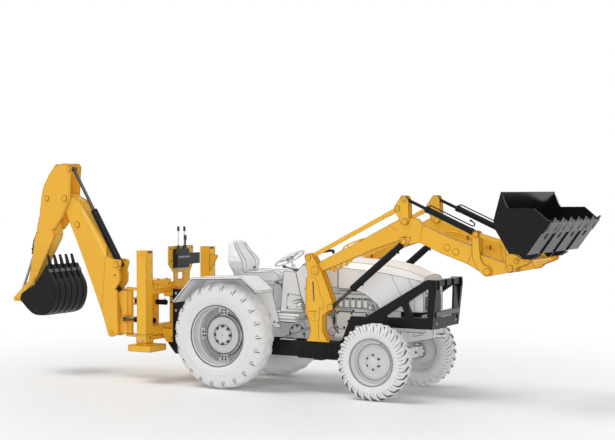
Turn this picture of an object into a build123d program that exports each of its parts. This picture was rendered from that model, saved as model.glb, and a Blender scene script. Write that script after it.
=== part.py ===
from build123d import *
import os
from math import atan2, cos, sin, tan, hypot, pi, radians

os.makedirs("parts", exist_ok=True)

# Driving dimensions in mm. Work frame: X forward, Y left, Z up, with X = 0 over the rear axle.
# Each node is shifted by X_MID on export, so the finished origin is the middle of the box.
X_MID = 432.2
WHEELBASE = 2160.0
REAR_R, REAR_W, REAR_Y, REAR_RIM_R = 690.0, 388.0, 709.0, 398.0
FRONT_R, FRONT_W, FRONT_Y, FRONT_RIM_R = 470.0, 232.0, 701.5, 293.0
KING_Y = 555.0
ARM_Y = 483.0
ARM_A = (1251.0, 1553.0)
LINK_Q = (1152.0, 1715.0)
BELL_P = (2485.0, 2181.0)
BELL_L = (2386.0, 2343.0)
BELL_B = (2471.0, 2460.0)
LIFT_C = (1464.0, 1095.0)
LIFT_K = (2472.0, 1940.0)
LEVER_L = (3550.0, 1604.0)
LEVER_T = (3408.0, 2042.0)
HITCH_F = (3831.0, 1650.0)
HITCH_H = (3800.0, 1930.0)
BUCKET_HALF = 950.0
HOE_Y = -500.0
SWING_X = -1650.0
BOOM_F = (-1889.0, 620.0)
BOOM_C = (-1790.0, 1120.0)
BOOM_M = (-2485.0, 2082.0)
DIP_D = (-2694.0, 2447.0)
DIP_B = (-1809.0, 1545.0)
DIP_P = (-2612.0, 2858.0)
HOE_B = (-3002.0, 2446.0)
HOE_R = (-3270.0, 1300.0)
HOE_G = (-3340.0, 1110.0)
HOE_J = (-3595.0, 1010.0)
HOE_S = (-3290.0, 945.0)
HOE_HALF = 350.0
LEG_X, LEG_Y = -1210.0, 771.0
PIN_GAP = 0.05
TOW_X, TOW_R = WHEELBASE + 585.0, 14.0
HOOD_H = (1490.0, 1628.0)


def loop(points, y):
    # Wire in a plane of constant Y. A third number on a point rounds that corner.
    pts = [(p[0], p[1], p[2] if len(p) > 2 else 0.0) for p in points]
    n = len(pts)
    entry, leave, mid = [], [], []
    for i in range(n):
        x, z, r = pts[i]
        xa, za = pts[i - 1][0], pts[i - 1][1]
        xb, zb = pts[(i + 1) % n][0], pts[(i + 1) % n][1]
        la, lb = hypot(xa - x, za - z), hypot(xb - x, zb - z)
        ua, ub = ((xa - x) / la, (za - z) / la), ((xb - x) / lb, (zb - z) / lb)
        dot = max(-1.0, min(1.0, ua[0] * ub[0] + ua[1] * ub[1]))
        half = atan2((1 - dot) ** 0.5, (1 + dot) ** 0.5)
        if r <= 0 or half > 1.55:
            entry.append((x, z)); leave.append((x, z)); mid.append(None)
            continue
        t = min(r / tan(half), 0.49 * la, 0.49 * lb)
        r = t * tan(half)
        e, q = (x + ua[0] * t, z + ua[1] * t), (x + ub[0] * t, z + ub[1] * t)
        bx, bz = ua[0] + ub[0], ua[1] + ub[1]
        bl = hypot(bx, bz)
        d = r / sin(half) - r
        entry.append(e); leave.append(q); mid.append((x + bx / bl * d, z + bz / bl * d))
    edges = []
    for i in range(n):
        if mid[i]:
            edges.append(Edge.make_three_point_arc(Vector(entry[i][0], y, entry[i][1]),
                                                   Vector(mid[i][0], y, mid[i][1]),
                                                   Vector(leave[i][0], y, leave[i][1])))
        j = (i + 1) % n
        if hypot(leave[i][0] - entry[j][0], leave[i][1] - entry[j][1]) > 1e-4:
            edges.append(Edge.make_line(Vector(leave[i][0], y, leave[i][1]),
                                        Vector(entry[j][0], y, entry[j][1])))
    return Wire(edges)


def plate(points, y0, y1):
    # Solid with an XZ outline between two values of Y.
    lo, hi = min(y0, y1), max(y0, y1)
    return Solid.extrude(Face(loop(points, lo)), Vector(0, hi - lo, 0))


def plan(points, z0, z1):
    # Solid with an XY outline between two values of Z.
    w = Wire([Edge.make_line(Vector(a[0], a[1], z0), Vector(b[0], b[1], z0))
              for a, b in zip(points, points[1:] + points[:1])])
    return Solid.extrude(Face(w), Vector(0, 0, z1 - z0))


def front(points, x0, x1):
    # Solid with a YZ outline between two values of X.
    w = Wire([Edge.make_line(Vector(x0, a[0], a[1]), Vector(x0, b[0], b[1]))
              for a, b in zip(points, points[1:] + points[:1])])
    return Solid.extrude(Face(w), Vector(x1 - x0, 0, 0))


def block(x0, x1, y0, y1, z0, z1):
    return Solid.make_box(abs(x1 - x0), abs(y1 - y0), abs(z1 - z0)).moved(
        Location((min(x0, x1), min(y0, y1), min(z0, z1))))


def pole(p0, p1, r):
    a, b = Vector(*p0), Vector(*p1)
    d = b - a
    return Solid.make_cylinder(r, d.length, Plane(origin=a, z_dir=d.normalized()))


def pin(xz, r, y0, y1):
    lo, hi = min(y0, y1), max(y0, y1)
    return pole((xz[0], lo, xz[1]), (xz[0], hi, xz[1]), r)


def solids(items):
    out = []
    for it in items if isinstance(items, (list, tuple)) else [items]:
        out += list(it) if isinstance(it, (list, tuple)) else list(it.solids())
    return out


def join(*items):
    s = solids(list(items))
    if len(s) == 1:
        return s[0]
    got = solids(s[0].fuse(*s[1:]))
    return got[0] if len(got) == 1 else Compound(got)


def less(base, *tools):
    got = solids([b.cut(*solids(list(tools))) for b in solids(base)])
    return got[0] if len(got) == 1 else Compound(got)


def both(maker):
    # The same piece on the right (side -1) and on the left (side +1).
    return join(maker(-1), maker(1))


def along(a, b, t):
    return (a[0] + (b[0] - a[0]) * t, a[1] + (b[1] - a[1]) * t)


def at_length(a, b, d):
    n = hypot(b[0] - a[0], b[1] - a[1])
    return along(a, b, d / n)


def bar(a, b, w, y0, y1, ra=None, rb=None):
    # Flat bar with round ends between two pins.
    dx, dz = b[0] - a[0], b[1] - a[1]
    n = hypot(dx, dz)
    nx, nz = -dz / n * w / 2, dx / n * w / 2
    body = plate([(a[0] + nx, a[1] + nz), (b[0] + nx, b[1] + nz), (b[0] - nx, b[1] - nz), (a[0] - nx, a[1] - nz)], y0, y1)
    return join(body, pin(a, ra or w / 2, y0, y1), pin(b, rb or w / 2, y0, y1))


def spun(profile, centre):
    # Ring turned about a Y axis through centre (x, y, z); profile holds (radius, offset in Y).
    x, y, z = centre
    w = Wire([Edge.make_line(Vector(x, y + a[1], z + a[0]), Vector(x, y + b[1], z + b[0]))
              for a, b in zip(profile, profile[1:] + profile[:1])])
    return Solid.revolve(Face(w), 360, Axis((x, y, z), (0, 1, 0)))


def lugged_ring(centre, side, lugs, wall, lug, plain):
    # Tyre of flat faces with straight lugs across each half, set half a pitch apart.
    # wall, lug and plain hold (radius, offset in Y) of one half, from the bead to the tread's middle.
    cx, cy, cz = centre
    count = 2 * lugs
    half = {1: (wall, lug, plain), -1: tuple([(r, -o) for r, o in rows] for rows in (wall, lug, plain))}

    def spot(row, k):
        turn = 2 * pi * k / count - pi / 2
        return Vector(cx + row[0] * cos(turn), cy + side * row[1], cz + row[0] * sin(turn))

    faces = []
    for k in range(count):
        high = 1 if k % 2 else -1
        wall_a, lug_a, _ = half[high]
        wall_b, _, plain_b = half[-high]
        groove = [(plain_b[-1][0], high * abs(plain_b[-1][1]))]
        rows = wall_a + lug_a + groove + (wall_b + plain_b)[::-1]
        for a, b in zip(rows, rows[1:] + rows[:1]):
            faces.append(Face(Wire.make_polygon([spot(a, k), spot(b, k), spot(b, k + 1), spot(a, k + 1)], close=True)))
        for way in (1, -1):
            wall_w, lug_w, plain_w = half[way]
            ring = [wall_w[-1]] + lug_w + plain_w[::-1]
            faces.append(Face(Wire.make_polygon([spot(row, k) for row in ring], close=True)))
    return Solid(Shell(faces))


nodes = {}

# Gearbox and rear axle casting, with a stub at each end that carries a wheel.
gearbox = join(
    block(-260, 1200, -180, 180, 450, 900), block(1150, 1340, -235, 235, 436, 960),
    block(-200, 260, -230, 230, 470, 930), block(-60, 420, -150, 150, 900, 1000),
    pin((0, 690), 150, -330, 330), pin((0, 690), 98, -560, 560), pin((0, 690), 45, -690, 690))
nodes["gearbox"] = gearbox

# Engine: one plain block with the forms that show below the open hood side.
# Each row: x0, x1, y0, y1, z0, z1.
ENGINE_FORMS = ((1380, 1900, -130, 130, 575, 640), (1400, 1890, -150, 150, 1240, 1275), (1440, 1885, -262, -235, 1066, 1074),
                (1440, 1885, -262, -235, 1188, 1196), (1390, 1860, -243, -235, 800, 1020), (1890, 1915, -275, -235, 1000, 1180),
                (1400, 1560, 235, 300, 1080, 1180), (1600, 1880, 235, 262, 760, 1020))
engine = join(block(1340, 1925, -235, 235, 640, 1240), *[block(*row) for row in ENGINE_FORMS],
              *[block(x, x + 70, -280, -235, 1074, 1188) for x in (1450, 1536, 1622, 1708, 1794)],
              pole((1430, -285, 700), (1640, -285, 700), 48), pole((1380, -235, 760), (1380, -290, 760), 50),
              pole((1700, 290, 900), (1700, 290, 1080), 46), block(1660, 1740, 235, 290, 940, 1000),
              block(1440, 1630, -260, -235, 680, 720))
nodes["engine_block"] = engine

# Radiator in its frame, with the fan behind it.
RADIATOR_X = WHEELBASE - 140
nodes["radiator"] = join(block(RADIATOR_X, RADIATOR_X + 70, -215, 215, 845, 1390), block(RADIATOR_X - 8, RADIATOR_X + 78, -225, 225, 1360, 1400),
                         block(RADIATOR_X - 8, RADIATOR_X + 78, -225, 225, 845, 885),
                         pole((1925, 0, 1080), (RADIATOR_X, 0, 1080), 34),
                         *[plan([(RADIATOR_X - 42, -w), (RADIATOR_X - 20, -w), (RADIATOR_X - 20, w), (RADIATOR_X - 42, w)], 1080 - h, 1080 + h)
                           for w, h in ((185, 32), (32, 185))])

# Front casting that carries the axle and the nose, with a tongue for the tow pin.
nodes["front_support"] = less(join(
    plate([(1925, 640), (WHEELBASE + 100, 640), (WHEELBASE + 540, 730), (WHEELBASE + 540, 845), (1925, 845)], -150, 150),
    block(1925, WHEELBASE + 440, -200, 200, 800, 845), block(WHEELBASE + 400, WHEELBASE + 480, -190, 190, 845, 1020),
    block(TOW_X - 55, TOW_X + 40, -60, 60, 735, 775)),
    plate([(WHEELBASE - 100, 630), (WHEELBASE - 70, 700), (WHEELBASE + 70, 700), (WHEELBASE + 100, 630)], -160, 160),
    pole((TOW_X, 0, 725), (TOW_X, 0, 785), TOW_R))

# Front axle beam; the boss at each end holds a kingpin.
beam = join(
    block(WHEELBASE - 45, WHEELBASE + 45, -520, 520, 400, 540), block(WHEELBASE - 65, WHEELBASE + 65, -105, 105, 400, 700),
    *[pole((WHEELBASE, s * KING_Y, 400), (WHEELBASE, s * KING_Y, 540), 40) for s in (-1, 1)])
nodes["front_axle"] = less(beam, *[pole((WHEELBASE, s * KING_Y, 390), (WHEELBASE, s * KING_Y, 550), 20 + PIN_GAP)
                                   for s in (-1, 1)])

# Knuckles: kingpin, lower flange, round hub case and wheel spindle in one.
for name, s in (("knuckle_right", -1), ("knuckle_left", 1)):
    y = s * KING_Y
    nodes[name] = join(
        pole((WHEELBASE, y, 376), (WHEELBASE, y, 566), 20),
        pole((WHEELBASE, y, 546), (WHEELBASE, y, 566), 34),
        plan([(WHEELBASE - 34, y - s * 34), (WHEELBASE + 34, y - s * 34), (WHEELBASE + 34, s * 625), (WHEELBASE - 34, s * 625)], 376, 394),
        pin((WHEELBASE, 470), 95, s * 602, s * 645), pin((WHEELBASE, 470), 28, s * 645, s * 735))

# Wheels. A tyre is a turned ring out to the tips of its lugs; a rim is the barrel, disc and hub.
# Tyre rows of one half, (radius, offset in Y): side wall from the bead, lug and groove up to the tread's middle.
REAR_LUGS, FRONT_LUGS = 22, 28
REAR_ROWS = ([(386.2, 150), (399.4, 163.9), (478, 192), (634, 170)], [(REAR_R, 84), (REAR_R, 6)], [(676, 84), (676, 6)])
FRONT_ROWS = ([(282.7, 84), (293.8, 91.9), (412, 115)], [(FRONT_R, 76), (FRONT_R, 4)], [(450, 76), (450, 4)])
rear_rim = [(385, -150), (REAR_RIM_R, -164), (REAR_RIM_R, -172), (376, -172), (370, -150), (355, -110), (355, 20),
            (372, 60), (372, 158), (384, 172), (REAR_RIM_R, 172), (REAR_RIM_R, 164), (385, 150)]
front_rim = [(282, -84), (FRONT_RIM_R, -92), (FRONT_RIM_R, -99), (276, -99), (268, -80), (258, -40), (258, 20),
             (270, 50), (272, 90), (280, 99), (FRONT_RIM_R, 99), (FRONT_RIM_R, 92), (282, 84)]
for name, s in (("right", -1), ("left", 1)):
    c = (0, s * REAR_Y, REAR_R)
    nodes["tyre_rear_" + name] = lugged_ring(c, s, REAR_LUGS, *REAR_ROWS)
    disc = [(45 + PIN_GAP, -60), (110, -60), (110, -10), (250, 0), (262, -6), (262, 6), (250, 14),
            (150, 14), (120, 30), (45 + PIN_GAP, 30)]
    y0, y1 = s * (REAR_Y - 16), s * (REAR_Y + 2)
    rim = join(spun([(r, s * o) for r, o in rear_rim], c), spun([(r, s * o) for r, o in disc], c),
               pin((0, REAR_R), 95, s * (REAR_Y + 20), s * (REAR_Y + 38)),
               *[block(x0, x1, y0, y1, REAR_R - 46, REAR_R + 46) for x0, x1 in ((-360, -240), (240, 360))],
               *[block(-46, 46, y0, y1, REAR_R + z0, REAR_R + z1) for z0, z1 in ((-360, -240), (240, 360))])
    nodes["rim_rear_" + name] = rim
    c = (WHEELBASE, s * FRONT_Y, FRONT_R)
    nodes["tyre_front_" + name] = lugged_ring(c, s, FRONT_LUGS, *FRONT_ROWS)
    disc = [(28 + PIN_GAP, -48), (80, -48), (80, 0), (180, 18), (220, 0), (262, 0), (262, 10), (220, 12), (180, 32),
            (100, 32), (84, 44), (28 + PIN_GAP, 44)]
    rim = join(spun([(r, s * o) for r, o in front_rim], c), spun([(r, s * o) for r, o in disc], c),
               pin((WHEELBASE, FRONT_R), 70, s * (FRONT_Y + 40), s * (FRONT_Y + 56)))
    nodes["rim_front_" + name] = rim

# Pedestal under the dash and the fixed scuttle behind the hood.
cowl = join(
    plate([(570, 985), (1010, 985), (960, 1200), (960, 1300), (830, 1500, 20), (620, 1512, 20), (600, 1300)], -235, 235),
    plate([(1010, 985), (1340, 985), (1340, 1330), (HOOD_H[0] - 50, 1330), (HOOD_H[0] - 50, 1590, 30), (960, 1625, 40), (830, 1500), (900, 1200)], -290, 290))
STEER_C = Vector(575, 0, 1662)
STEER_D = Vector(-0.5, 0, 0.8660254)
def on_column(d):
    p = STEER_C + STEER_D * d
    return (p.X, p.Y, p.Z)
cowl = join(cowl, pole(on_column(-235), on_column(-110), 30))
cowl = less(cowl, pole(on_column(-205), on_column(-100), 16 + PIN_GAP))
EAR = ((-60, -88), (-40, -88), (15, -14), (15, 4), (-8, 12), (-60, -38))
cowl = join(cowl, *[plate([(HOOD_H[0] + x, HOOD_H[1] + z) for x, z in EAR], s * 222, s * 230) for s in (-1, 1)],
            *[pin(HOOD_H, 8, s * 222, s * 246) for s in (-1, 1)])
nodes["dash_cowl"] = cowl

# Hood shell over the engine, open below and at the back, with a pair of hinge lugs at the rear top.
def hood_loft(grow, x0, x3, low):
    rows = [  # x, crease height, crown height
        (x0, 1589, 1700), (WHEELBASE - 60, 1528, 1682), (WHEELBASE + 240, 1480, 1618), (x3, 1440, 1512)]
    faces = []
    for x, zc, zt in rows:
        h = 300 - grow
        zc, zt = zc - grow, zt - grow
        p = [(-h, low), (-h, zc), (-h * 0.78, zc + (zt - zc) * 0.62), (0, zt), (h * 0.78, zc + (zt - zc) * 0.62), (h, zc), (h, low)]
        e = [Edge.make_line(Vector(x, *p[0]), Vector(x, *p[1])), Edge.make_line(Vector(x, *p[1]), Vector(x, *p[2])),
             Edge.make_three_point_arc(Vector(x, *p[2]), Vector(x, *p[3]), Vector(x, *p[4])),
             Edge.make_line(Vector(x, *p[4]), Vector(x, *p[5])), Edge.make_line(Vector(x, *p[5]), Vector(x, *p[6])),
             Edge.make_line(Vector(x, *p[6]), Vector(x, *p[0]))]
        faces.append(Wire(e))
    return Solid.make_loft(faces, True)


HOOD_X0, HOOD_X1 = HOOD_H[0] - 35, WHEELBASE + 470
hood = less(hood_loft(0, HOOD_X0, HOOD_X1, 1060), hood_loft(8, HOOD_X0 - 15, HOOD_X1 - 8, 1000),
            plate([(HOOD_X0 - 55, 1000), (WHEELBASE - 90, 1000), (WHEELBASE - 96, 1052), (WHEELBASE - 168, 1146), (1848, 1249), (1666, 1318), (HOOD_X0 - 55, 1320)], -400, 400))
# Front of the hood: two round lamps and a stack of grille bars.
hood = join(hood, *[pole((HOOD_X1 - 4, s * 190, 1340), (HOOD_X1 + 14, s * 190, 1340), 62) for s in (-1, 1)],
            *[block(HOOD_X1 - 4, HOOD_X1 + 8, -225, 225, 1095 + 26 * k, 1107 + 26 * k) for k in range(6)])
LUG = ((-18, -20), (18, -20), (40, 24), (-20, 28))
hood = join(hood, *[plate([(HOOD_H[0] + x, HOOD_H[1] + z) for x, z in LUG], s * 236, s * 244) for s in (-1, 1)])
nodes["hood"] = less(hood, *[pin(HOOD_H, 8 + PIN_GAP, s * 215, s * 260) for s in (-1, 1)])

# Seat box, cushion, and a backrest that is wider at the hips than at the top.
nodes["seat_base"] = join(block(-40, 420, -150, 150, 1000, 1330), block(-200, 470, -215, 215, 1330, 1372), block(-190, -45, -160, 160, 1372, 1400))
nodes["seat_cushion"] = plate([(-20, 1372), (470, 1372), (545, 1400, 30), (550, 1470, 30), (480, 1505, 30), (-20, 1470, 20)], -222, 222)
backrest = plate([(-180, 1400, 20), (-45, 1400, 15), (-24, 1500, 40), (-17, 1600, 40), (-60, 1660, 60), (-150, 1775, 80), (-205, 1870, 30),
                  (-245, 1900, 25), (-292, 1870, 30), (-275, 1750, 80), (-240, 1600, 80)], -235, 235)
HIPS = ((160, 1390), (172, 1410), (184, 1480), (222, 1550), (230, 1620), (208, 1690), (165, 1770), (147, 1860), (105, 1895), (105, 1930), (300, 1930), (300, 1390))
nodes["seat_backrest"] = less(backrest, *[front([(s * y, z) for y, z in HIPS][::s], -400, 200) for s in (-1, 1)])

# Rear fenders: bent top sheet, inner side panel and a bracket down to the axle casting.
def fender(s):
    top = [(-668, 1108), (-374, 1430, 40), (389, 1462, 30), (612, 1290), (618, 1262), (596, 1262), (590, 1284),
           (380, 1440, 20), (-368, 1408, 30), (-655, 1095)]
    inner = [(-640, 1125), (-370, 1415), (385, 1445), (596, 1284), (724, 806), (640, 796), (560, 900), (430, 960), (-430, 960), (-570, 1040)]
    return join(plate(top, s * 500, s * 912), plate(inner, s * 494, s * 508),
                block(-70, 70, s * 430, s * 500, 770, 1010))
nodes["fenders"] = less(both(fender), pin((0, 690), 98, -560, 560))

# Operator floor with its side boxes.
nodes["platform"] = join(block(420, 1000, -490, 490, 960, 984), block(560, 930, -485, -255, 870, 960),
                         block(560, 930, 255, 485, 870, 960), block(600, 1000, -490, 490, 905, 915), block(700, 800, -260, 260, 900, 960))

# Black frame under the tractor: two deep rails, rear uprights with hooks, and cross members.
def rail(s):
    return join(block(-950, 1590, s * 420, s * 490, 445, 655), block(1000, 1580, s * 400, s * 540, 436, 470),
                block(-955, -750, s * 420, s * 490, 440, 1240),
                plate([(-1055, 645), (-900, 645), (-870, 364), (-935, 364), (-1050, 500)], s * 430, s * 460))
subframe = join(both(rail), block(1170, 1300, -430, 430, 406, 436), block(-940, -860, -430, 430, 470, 600),
                block(-420, -330, -430, 430, 480, 560), block(-420, -260, -120, 120, 480, 560))
nodes["subframe"] = less(subframe, pin((0, 690), 98, -600, 600), *[pin((-985, 568), 20, s * 425, s * 470) for s in (-1, 1)])

# Loader posts: an inner and an outer plate joined by webs, with solid pins for the arm and the levelling link.
POST = [(1133, 672), (1163, 700), (1193, 790), (1160, 920), (1112, 1050), (1122, 1190), (1112, 1310), (1128, 1454), (1153, 1473),
        (1108, 1700, 12), (1096, 1742, 18), (1196, 1775, 18), (1214, 1732, 10), (1330, 1560, 20), (1488, 1180, 20), (1500, 1095, 30),
        (1440, 1050, 20), (1355, 985, 20), (1355, 790, 20), (1420, 672)]
def post(s):
    y0, y1, y2, y3 = s * 421, s * 436, s * 530, s * 545
    web = [(1170, 700), (1200, 790), (1172, 920), (1130, 1050), (1130, 1310), (1150, 1440), (1172, 1440), (1152, 1310), (1152, 1050), (1194, 920), (1225, 790), (1195, 700)]
    parts = [plate(POST, y0, y1), plate(POST, y2, y3), plate(web, y1, y2), block(1300, 1345, y1, y2, 675, 1010),
             plate([(1340, 1000), (1420, 1040), (1420, 1060), (1340, 1020)], y1, y2),
             block(1133, 1590, s * 421, s * 545, 655, 674),
             pin(ARM_A, 30, s * 421, s * 545), pin(LINK_Q, 20, s * 421, s * 545),
             pin(ARM_A, 52, s * 545, s * 556), pin(LINK_Q, 36, s * 545, s * 553),
             pin(LIFT_C, 42, s * 545, s * 555), pin(LIFT_C, 42, s * 411, s * 421)]
    return join(*parts)
nodes["loader_posts"] = both(post)

# Front guard: two side frames with triangular gaps, and members across the nose.
GUARD = [(1560, 480), (1660, 480), (1730, 868), (2800, 868), (2858, 1398), (2852, 1472), (2727, 1472), (1905, 985), (1690, 985), (1560, 655)]
def guard(s):
    side = plate(GUARD, s * 365, s * 420)
    return less(side, plate([(2150, 992, 10), (2392, 1150, 30), (2452, 1000, 10)], s * 360, s * 430),
                plate([(2748, 1374, 12), (2462, 1180, 30), (2540, 1005, 10), (2732, 1005, 10)], s * 360, s * 430))
guard_all = join(guard(-1), guard(1), block(2785, 2850, -420, 420, 1392, 1470), block(2735, 2800, -420, 420, 870, 1000),
                 block(2790, 2830, -365, 365, 1020, 1080),
                 *[front([(s * 365, 1392), (s * 225, 1392), (s * 195, 1000), (s * 345, 1000), (s * 365, 1020)], 2796, 2822) for s in (-1, 1)],
                 block(2640, 2740, -150, 150, 845, 905),
                 block(1560, 1590, -420, 420, 480, 560))
nodes["front_guard"] = guard_all

# Steering wheel: hub, spokes and rim on one shaft.
sp = Plane(origin=STEER_C, z_dir=STEER_D)
def steer_point(r, a, h=0.0):
    p = sp.from_local_coords((r * cos(radians(a)), r * sin(radians(a)), h))
    return (p.X, p.Y, p.Z)
wheel = Solid.make_torus(205, 14, sp)
nodes["steering_wheel"] = join(wheel, pole(steer_point(0, 0, -34), steer_point(0, 0, 8), 45),
                               pole(on_column(-190), on_column(0), 16),
                               *[pole(steer_point(20, a, -12), steer_point(203, a, -2), 9) for a in (0, 120, 240)])

# Loader arms: two box beams with a knee plate each, tied by two round cross tubes.
ARM = [(1215, 1530, 20), (1325, 1540), (1912, 1775), (2018, 1825), (2422, 1960), (2470, 1888, 40), (2540, 1905, 30), (2674, 1933), (2952, 1809),
       (3288, 1691), (3520, 1570, 40), (3560, 1552, 30), (3800, 1598), (3880, 1604, 45), (3885, 1690, 45), (3784, 1708), (3617, 1753), (3457, 1805), (3360, 1901),
       (3085, 1989), (2712, 2142), (2640, 2216, 25), (2545, 2232, 25), (2414, 2215), (1885, 1941), (1287, 1651), (1200, 1600, 30)]
def arm(s):
    body = plate(ARM, s * 448, s * 518)
    body = less(body, pin(ARM_A, 30 + PIN_GAP, s * 440, s * 530), pin(BELL_P, 22 + PIN_GAP, s * 440, s * 530),
                pin(LIFT_K, 60, s * 440, s * 530), pin(LEVER_L, 25 + PIN_GAP, s * 440, s * 530), pin(HITCH_F, 26 + PIN_GAP, s * 440, s * 530))
    cheek = [(2415, 1990, 10), (2560, 1990, 10), (2522, 1905, 30), (2472, 1892, 40), (2426, 1915, 30)]
    body = join(body, plate(cheek, s * 440, s * 448), plate(cheek, s * 518, s * 526), pin(LIFT_K, 20, s * 440, s * 526),
                pin(LIFT_K, 34, s * 526, s * 534))
    return body
arms = join(arm(-1), arm(1), pin((3034, 1879), 40, -519, 519), pin((3145, 1828), 40, -519, 519))
nodes["loader_arms"] = arms

# Levelling links between the posts and the bellcranks.
def link(s):
    end, root = at_length(BELL_L, LINK_Q, 150), at_length(BELL_L, LINK_Q, 200)
    b = join(bar(LINK_Q, root, 50, s * 463, s * 503, 34, 25), bar(root, end, 50, s * 447, s * 519, 25, 8),
             bar(root, BELL_L, 50, s * 509, s * 519, 25, 32), bar(root, BELL_L, 50, s * 447, s * 457, 25, 32))
    return less(b, pin(LINK_Q, 20 + PIN_GAP, s * 450, s * 520), pin(BELL_L, 16 + PIN_GAP, s * 440, s * 530))
nodes["levelling_links"] = both(link)

# Bellcranks: two plates each side of the arm on one pin.
BELL = [(2440, 2150, 30), (2520, 2140, 40), (2540, 2190, 40), (2528, 2440, 30), (2500, 2497, 30), (2440, 2497, 30), (2340, 2355, 30), (2360, 2300, 40)]
def bell(s):
    return join(plate(BELL, s * 523, s * 533), plate(BELL, s * 433, s * 443), pin(BELL_P, 22, s * 433, s * 533),
                pin(BELL_P, 38, s * 533, s * 541), pin(BELL_L, 30, s * 533, s * 541), pin(BELL_L, 16, s * 509, s * 523), pin(BELL_L, 16, s * 443, s * 457), pin(BELL_B, 34, s * 533, s * 541),
                pin(BELL_P, 38, s * 429, s * 433))
nodes["bellcranks"] = both(bell)

# Lift cylinders hang upside down: barrels on the knees, rods down to the posts.
LIFT_MID = at_length(LIFT_K, LIFT_C, 880)
def lift_barrel(s):
    neck = at_length(LIFT_K, LIFT_C, 80)
    b = join(pole((neck[0], s * ARM_Y, neck[1]), (LIFT_MID[0], s * ARM_Y, LIFT_MID[1]), 40),
             bar(LIFT_K, at_length(LIFT_K, LIFT_C, 90), 60, s * 458, s * 508, 42, 30))
    hole0, hole1 = at_length(LIFT_K, LIFT_C, 130), at_length(LIFT_K, LIFT_C, 900)
    return less(b, pole((hole0[0], s * ARM_Y, hole0[1]), (hole1[0], s * ARM_Y, hole1[1]), 21), pin(LIFT_K, 20 + PIN_GAP, s * 440, s * 530))
def lift_rod(s):
    a, c = at_length(LIFT_K, LIFT_C, 640), at_length(LIFT_C, LIFT_K, 20)
    return join(pole((a[0], s * ARM_Y, a[1]), (c[0], s * ARM_Y, c[1]), 20.9), pin(LIFT_C, 36, s * 458, s * 508))
nodes["lift_barrels"] = both(lift_barrel)
nodes["lift_rods"] = both(lift_rod)

# Tilt levers either side of the arms, pinned low in the arms.
LEVER = [(3360, 2050, 30), (3380, 2085, 40), (3440, 2080, 40), (3452, 1880, 30), (3462, 1760, 60), (3500, 1690, 50), (3590, 1655, 30), (3612, 1600, 30),
         (3580, 1552, 30), (3520, 1548, 40), (3420, 1640, 60), (3368, 1760, 60), (3360, 1870, 60)]
def lever(s):
    return join(plate(LEVER, s * 524, s * 536), plate(LEVER, s * 430, s * 442), pin(LEVER_L, 25, s * 430, s * 536),
                pin(LEVER_L, 40, s * 536, s * 546), pin(LEVER_L, 40, s * 420, s * 430), pin(LEVER_T, 20, s * 430, s * 536),
                pin(LEVER_T, 34, s * 536, s * 546))
nodes["tilt_levers"] = both(lever)

# Tilt links from the lever tops to the bucket hitch.
def tilt_link(s):
    b = join(bar(LEVER_T, HITCH_H, 44, s * 508, s * 518, 30, 30), bar(LEVER_T, HITCH_H, 44, s * 448, s * 458, 30, 30),
             pin(HITCH_H, 26, s * 448, s * 518), pin(along(LEVER_T, HITCH_H, 0.55), 14, s * 448, s * 518))
    return less(b, pin(LEVER_T, 20 + PIN_GAP, s * 440, s * 530))
nodes["tilt_links"] = both(tilt_link)

# Tilt cylinders: barrels on the lever tops, rods to the bellcranks.
TILT_MID = at_length(LEVER_T, BELL_B, 730)
def tilt_barrel(s):
    a, b = at_length(LEVER_T, BELL_B, 45), at_length(LEVER_T, BELL_B, 730)
    body = join(pole((a[0], s * ARM_Y, a[1]), (b[0], s * ARM_Y, b[1]), 38),
                bar(LEVER_T, at_length(LEVER_T, BELL_B, 60), 56, s * 464, s * 502, 32, 28))
    h0, h1 = at_length(LEVER_T, BELL_B, 110), at_length(LEVER_T, BELL_B, 760)
    return less(body, pole((h0[0], s * ARM_Y, h0[1]), (h1[0], s * ARM_Y, h1[1]), 20), pin(LEVER_T, 20 + PIN_GAP, s * 440, s * 530))
def tilt_rod(s):
    a, b = at_length(LEVER_T, BELL_B, 590), at_length(BELL_B, LEVER_T, 20)
    return join(pole((a[0], s * ARM_Y, a[1]), (b[0], s * ARM_Y, b[1]), 19.9), pin(BELL_B, 30, s * 460, s * 506))
nodes["tilt_barrels"] = both(tilt_barrel)
nodes["tilt_rods"] = both(tilt_rod)

# Bucket hitch: side brackets on the arm ends, tied by two bars.
HITCH = [(3772, 1955, 30), (3800, 1972, 30), (3845, 1940, 40), (3885, 1825, 30), (3975, 1764), (4062, 1764, 8), (4078, 1740, 20), (4060, 1712, 30), (3900, 1650, 40), (3860, 1604, 40),
         (3800, 1606, 40), (3785, 1660, 40), (3784, 1800, 40)]
def hitch(s):
    return join(plate(HITCH, s * 524, s * 538), plate(HITCH, s * 428, s * 442), pin(HITCH_F, 26, s * 428, s * 538),
                pin(HITCH_F, 42, s * 538, s * 548), pin((3915, 1738), 30, s * 428, s * 548),
                pin((4020, 1738), 22, s * 428, s * 538))
hitch_all = join(hitch(-1), hitch(1), pin((3915, 1738), 22, -440, 440), pin((4020, 1738), 22, -440, 440))
nodes["bucket_hitch"] = hitch_all

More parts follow.
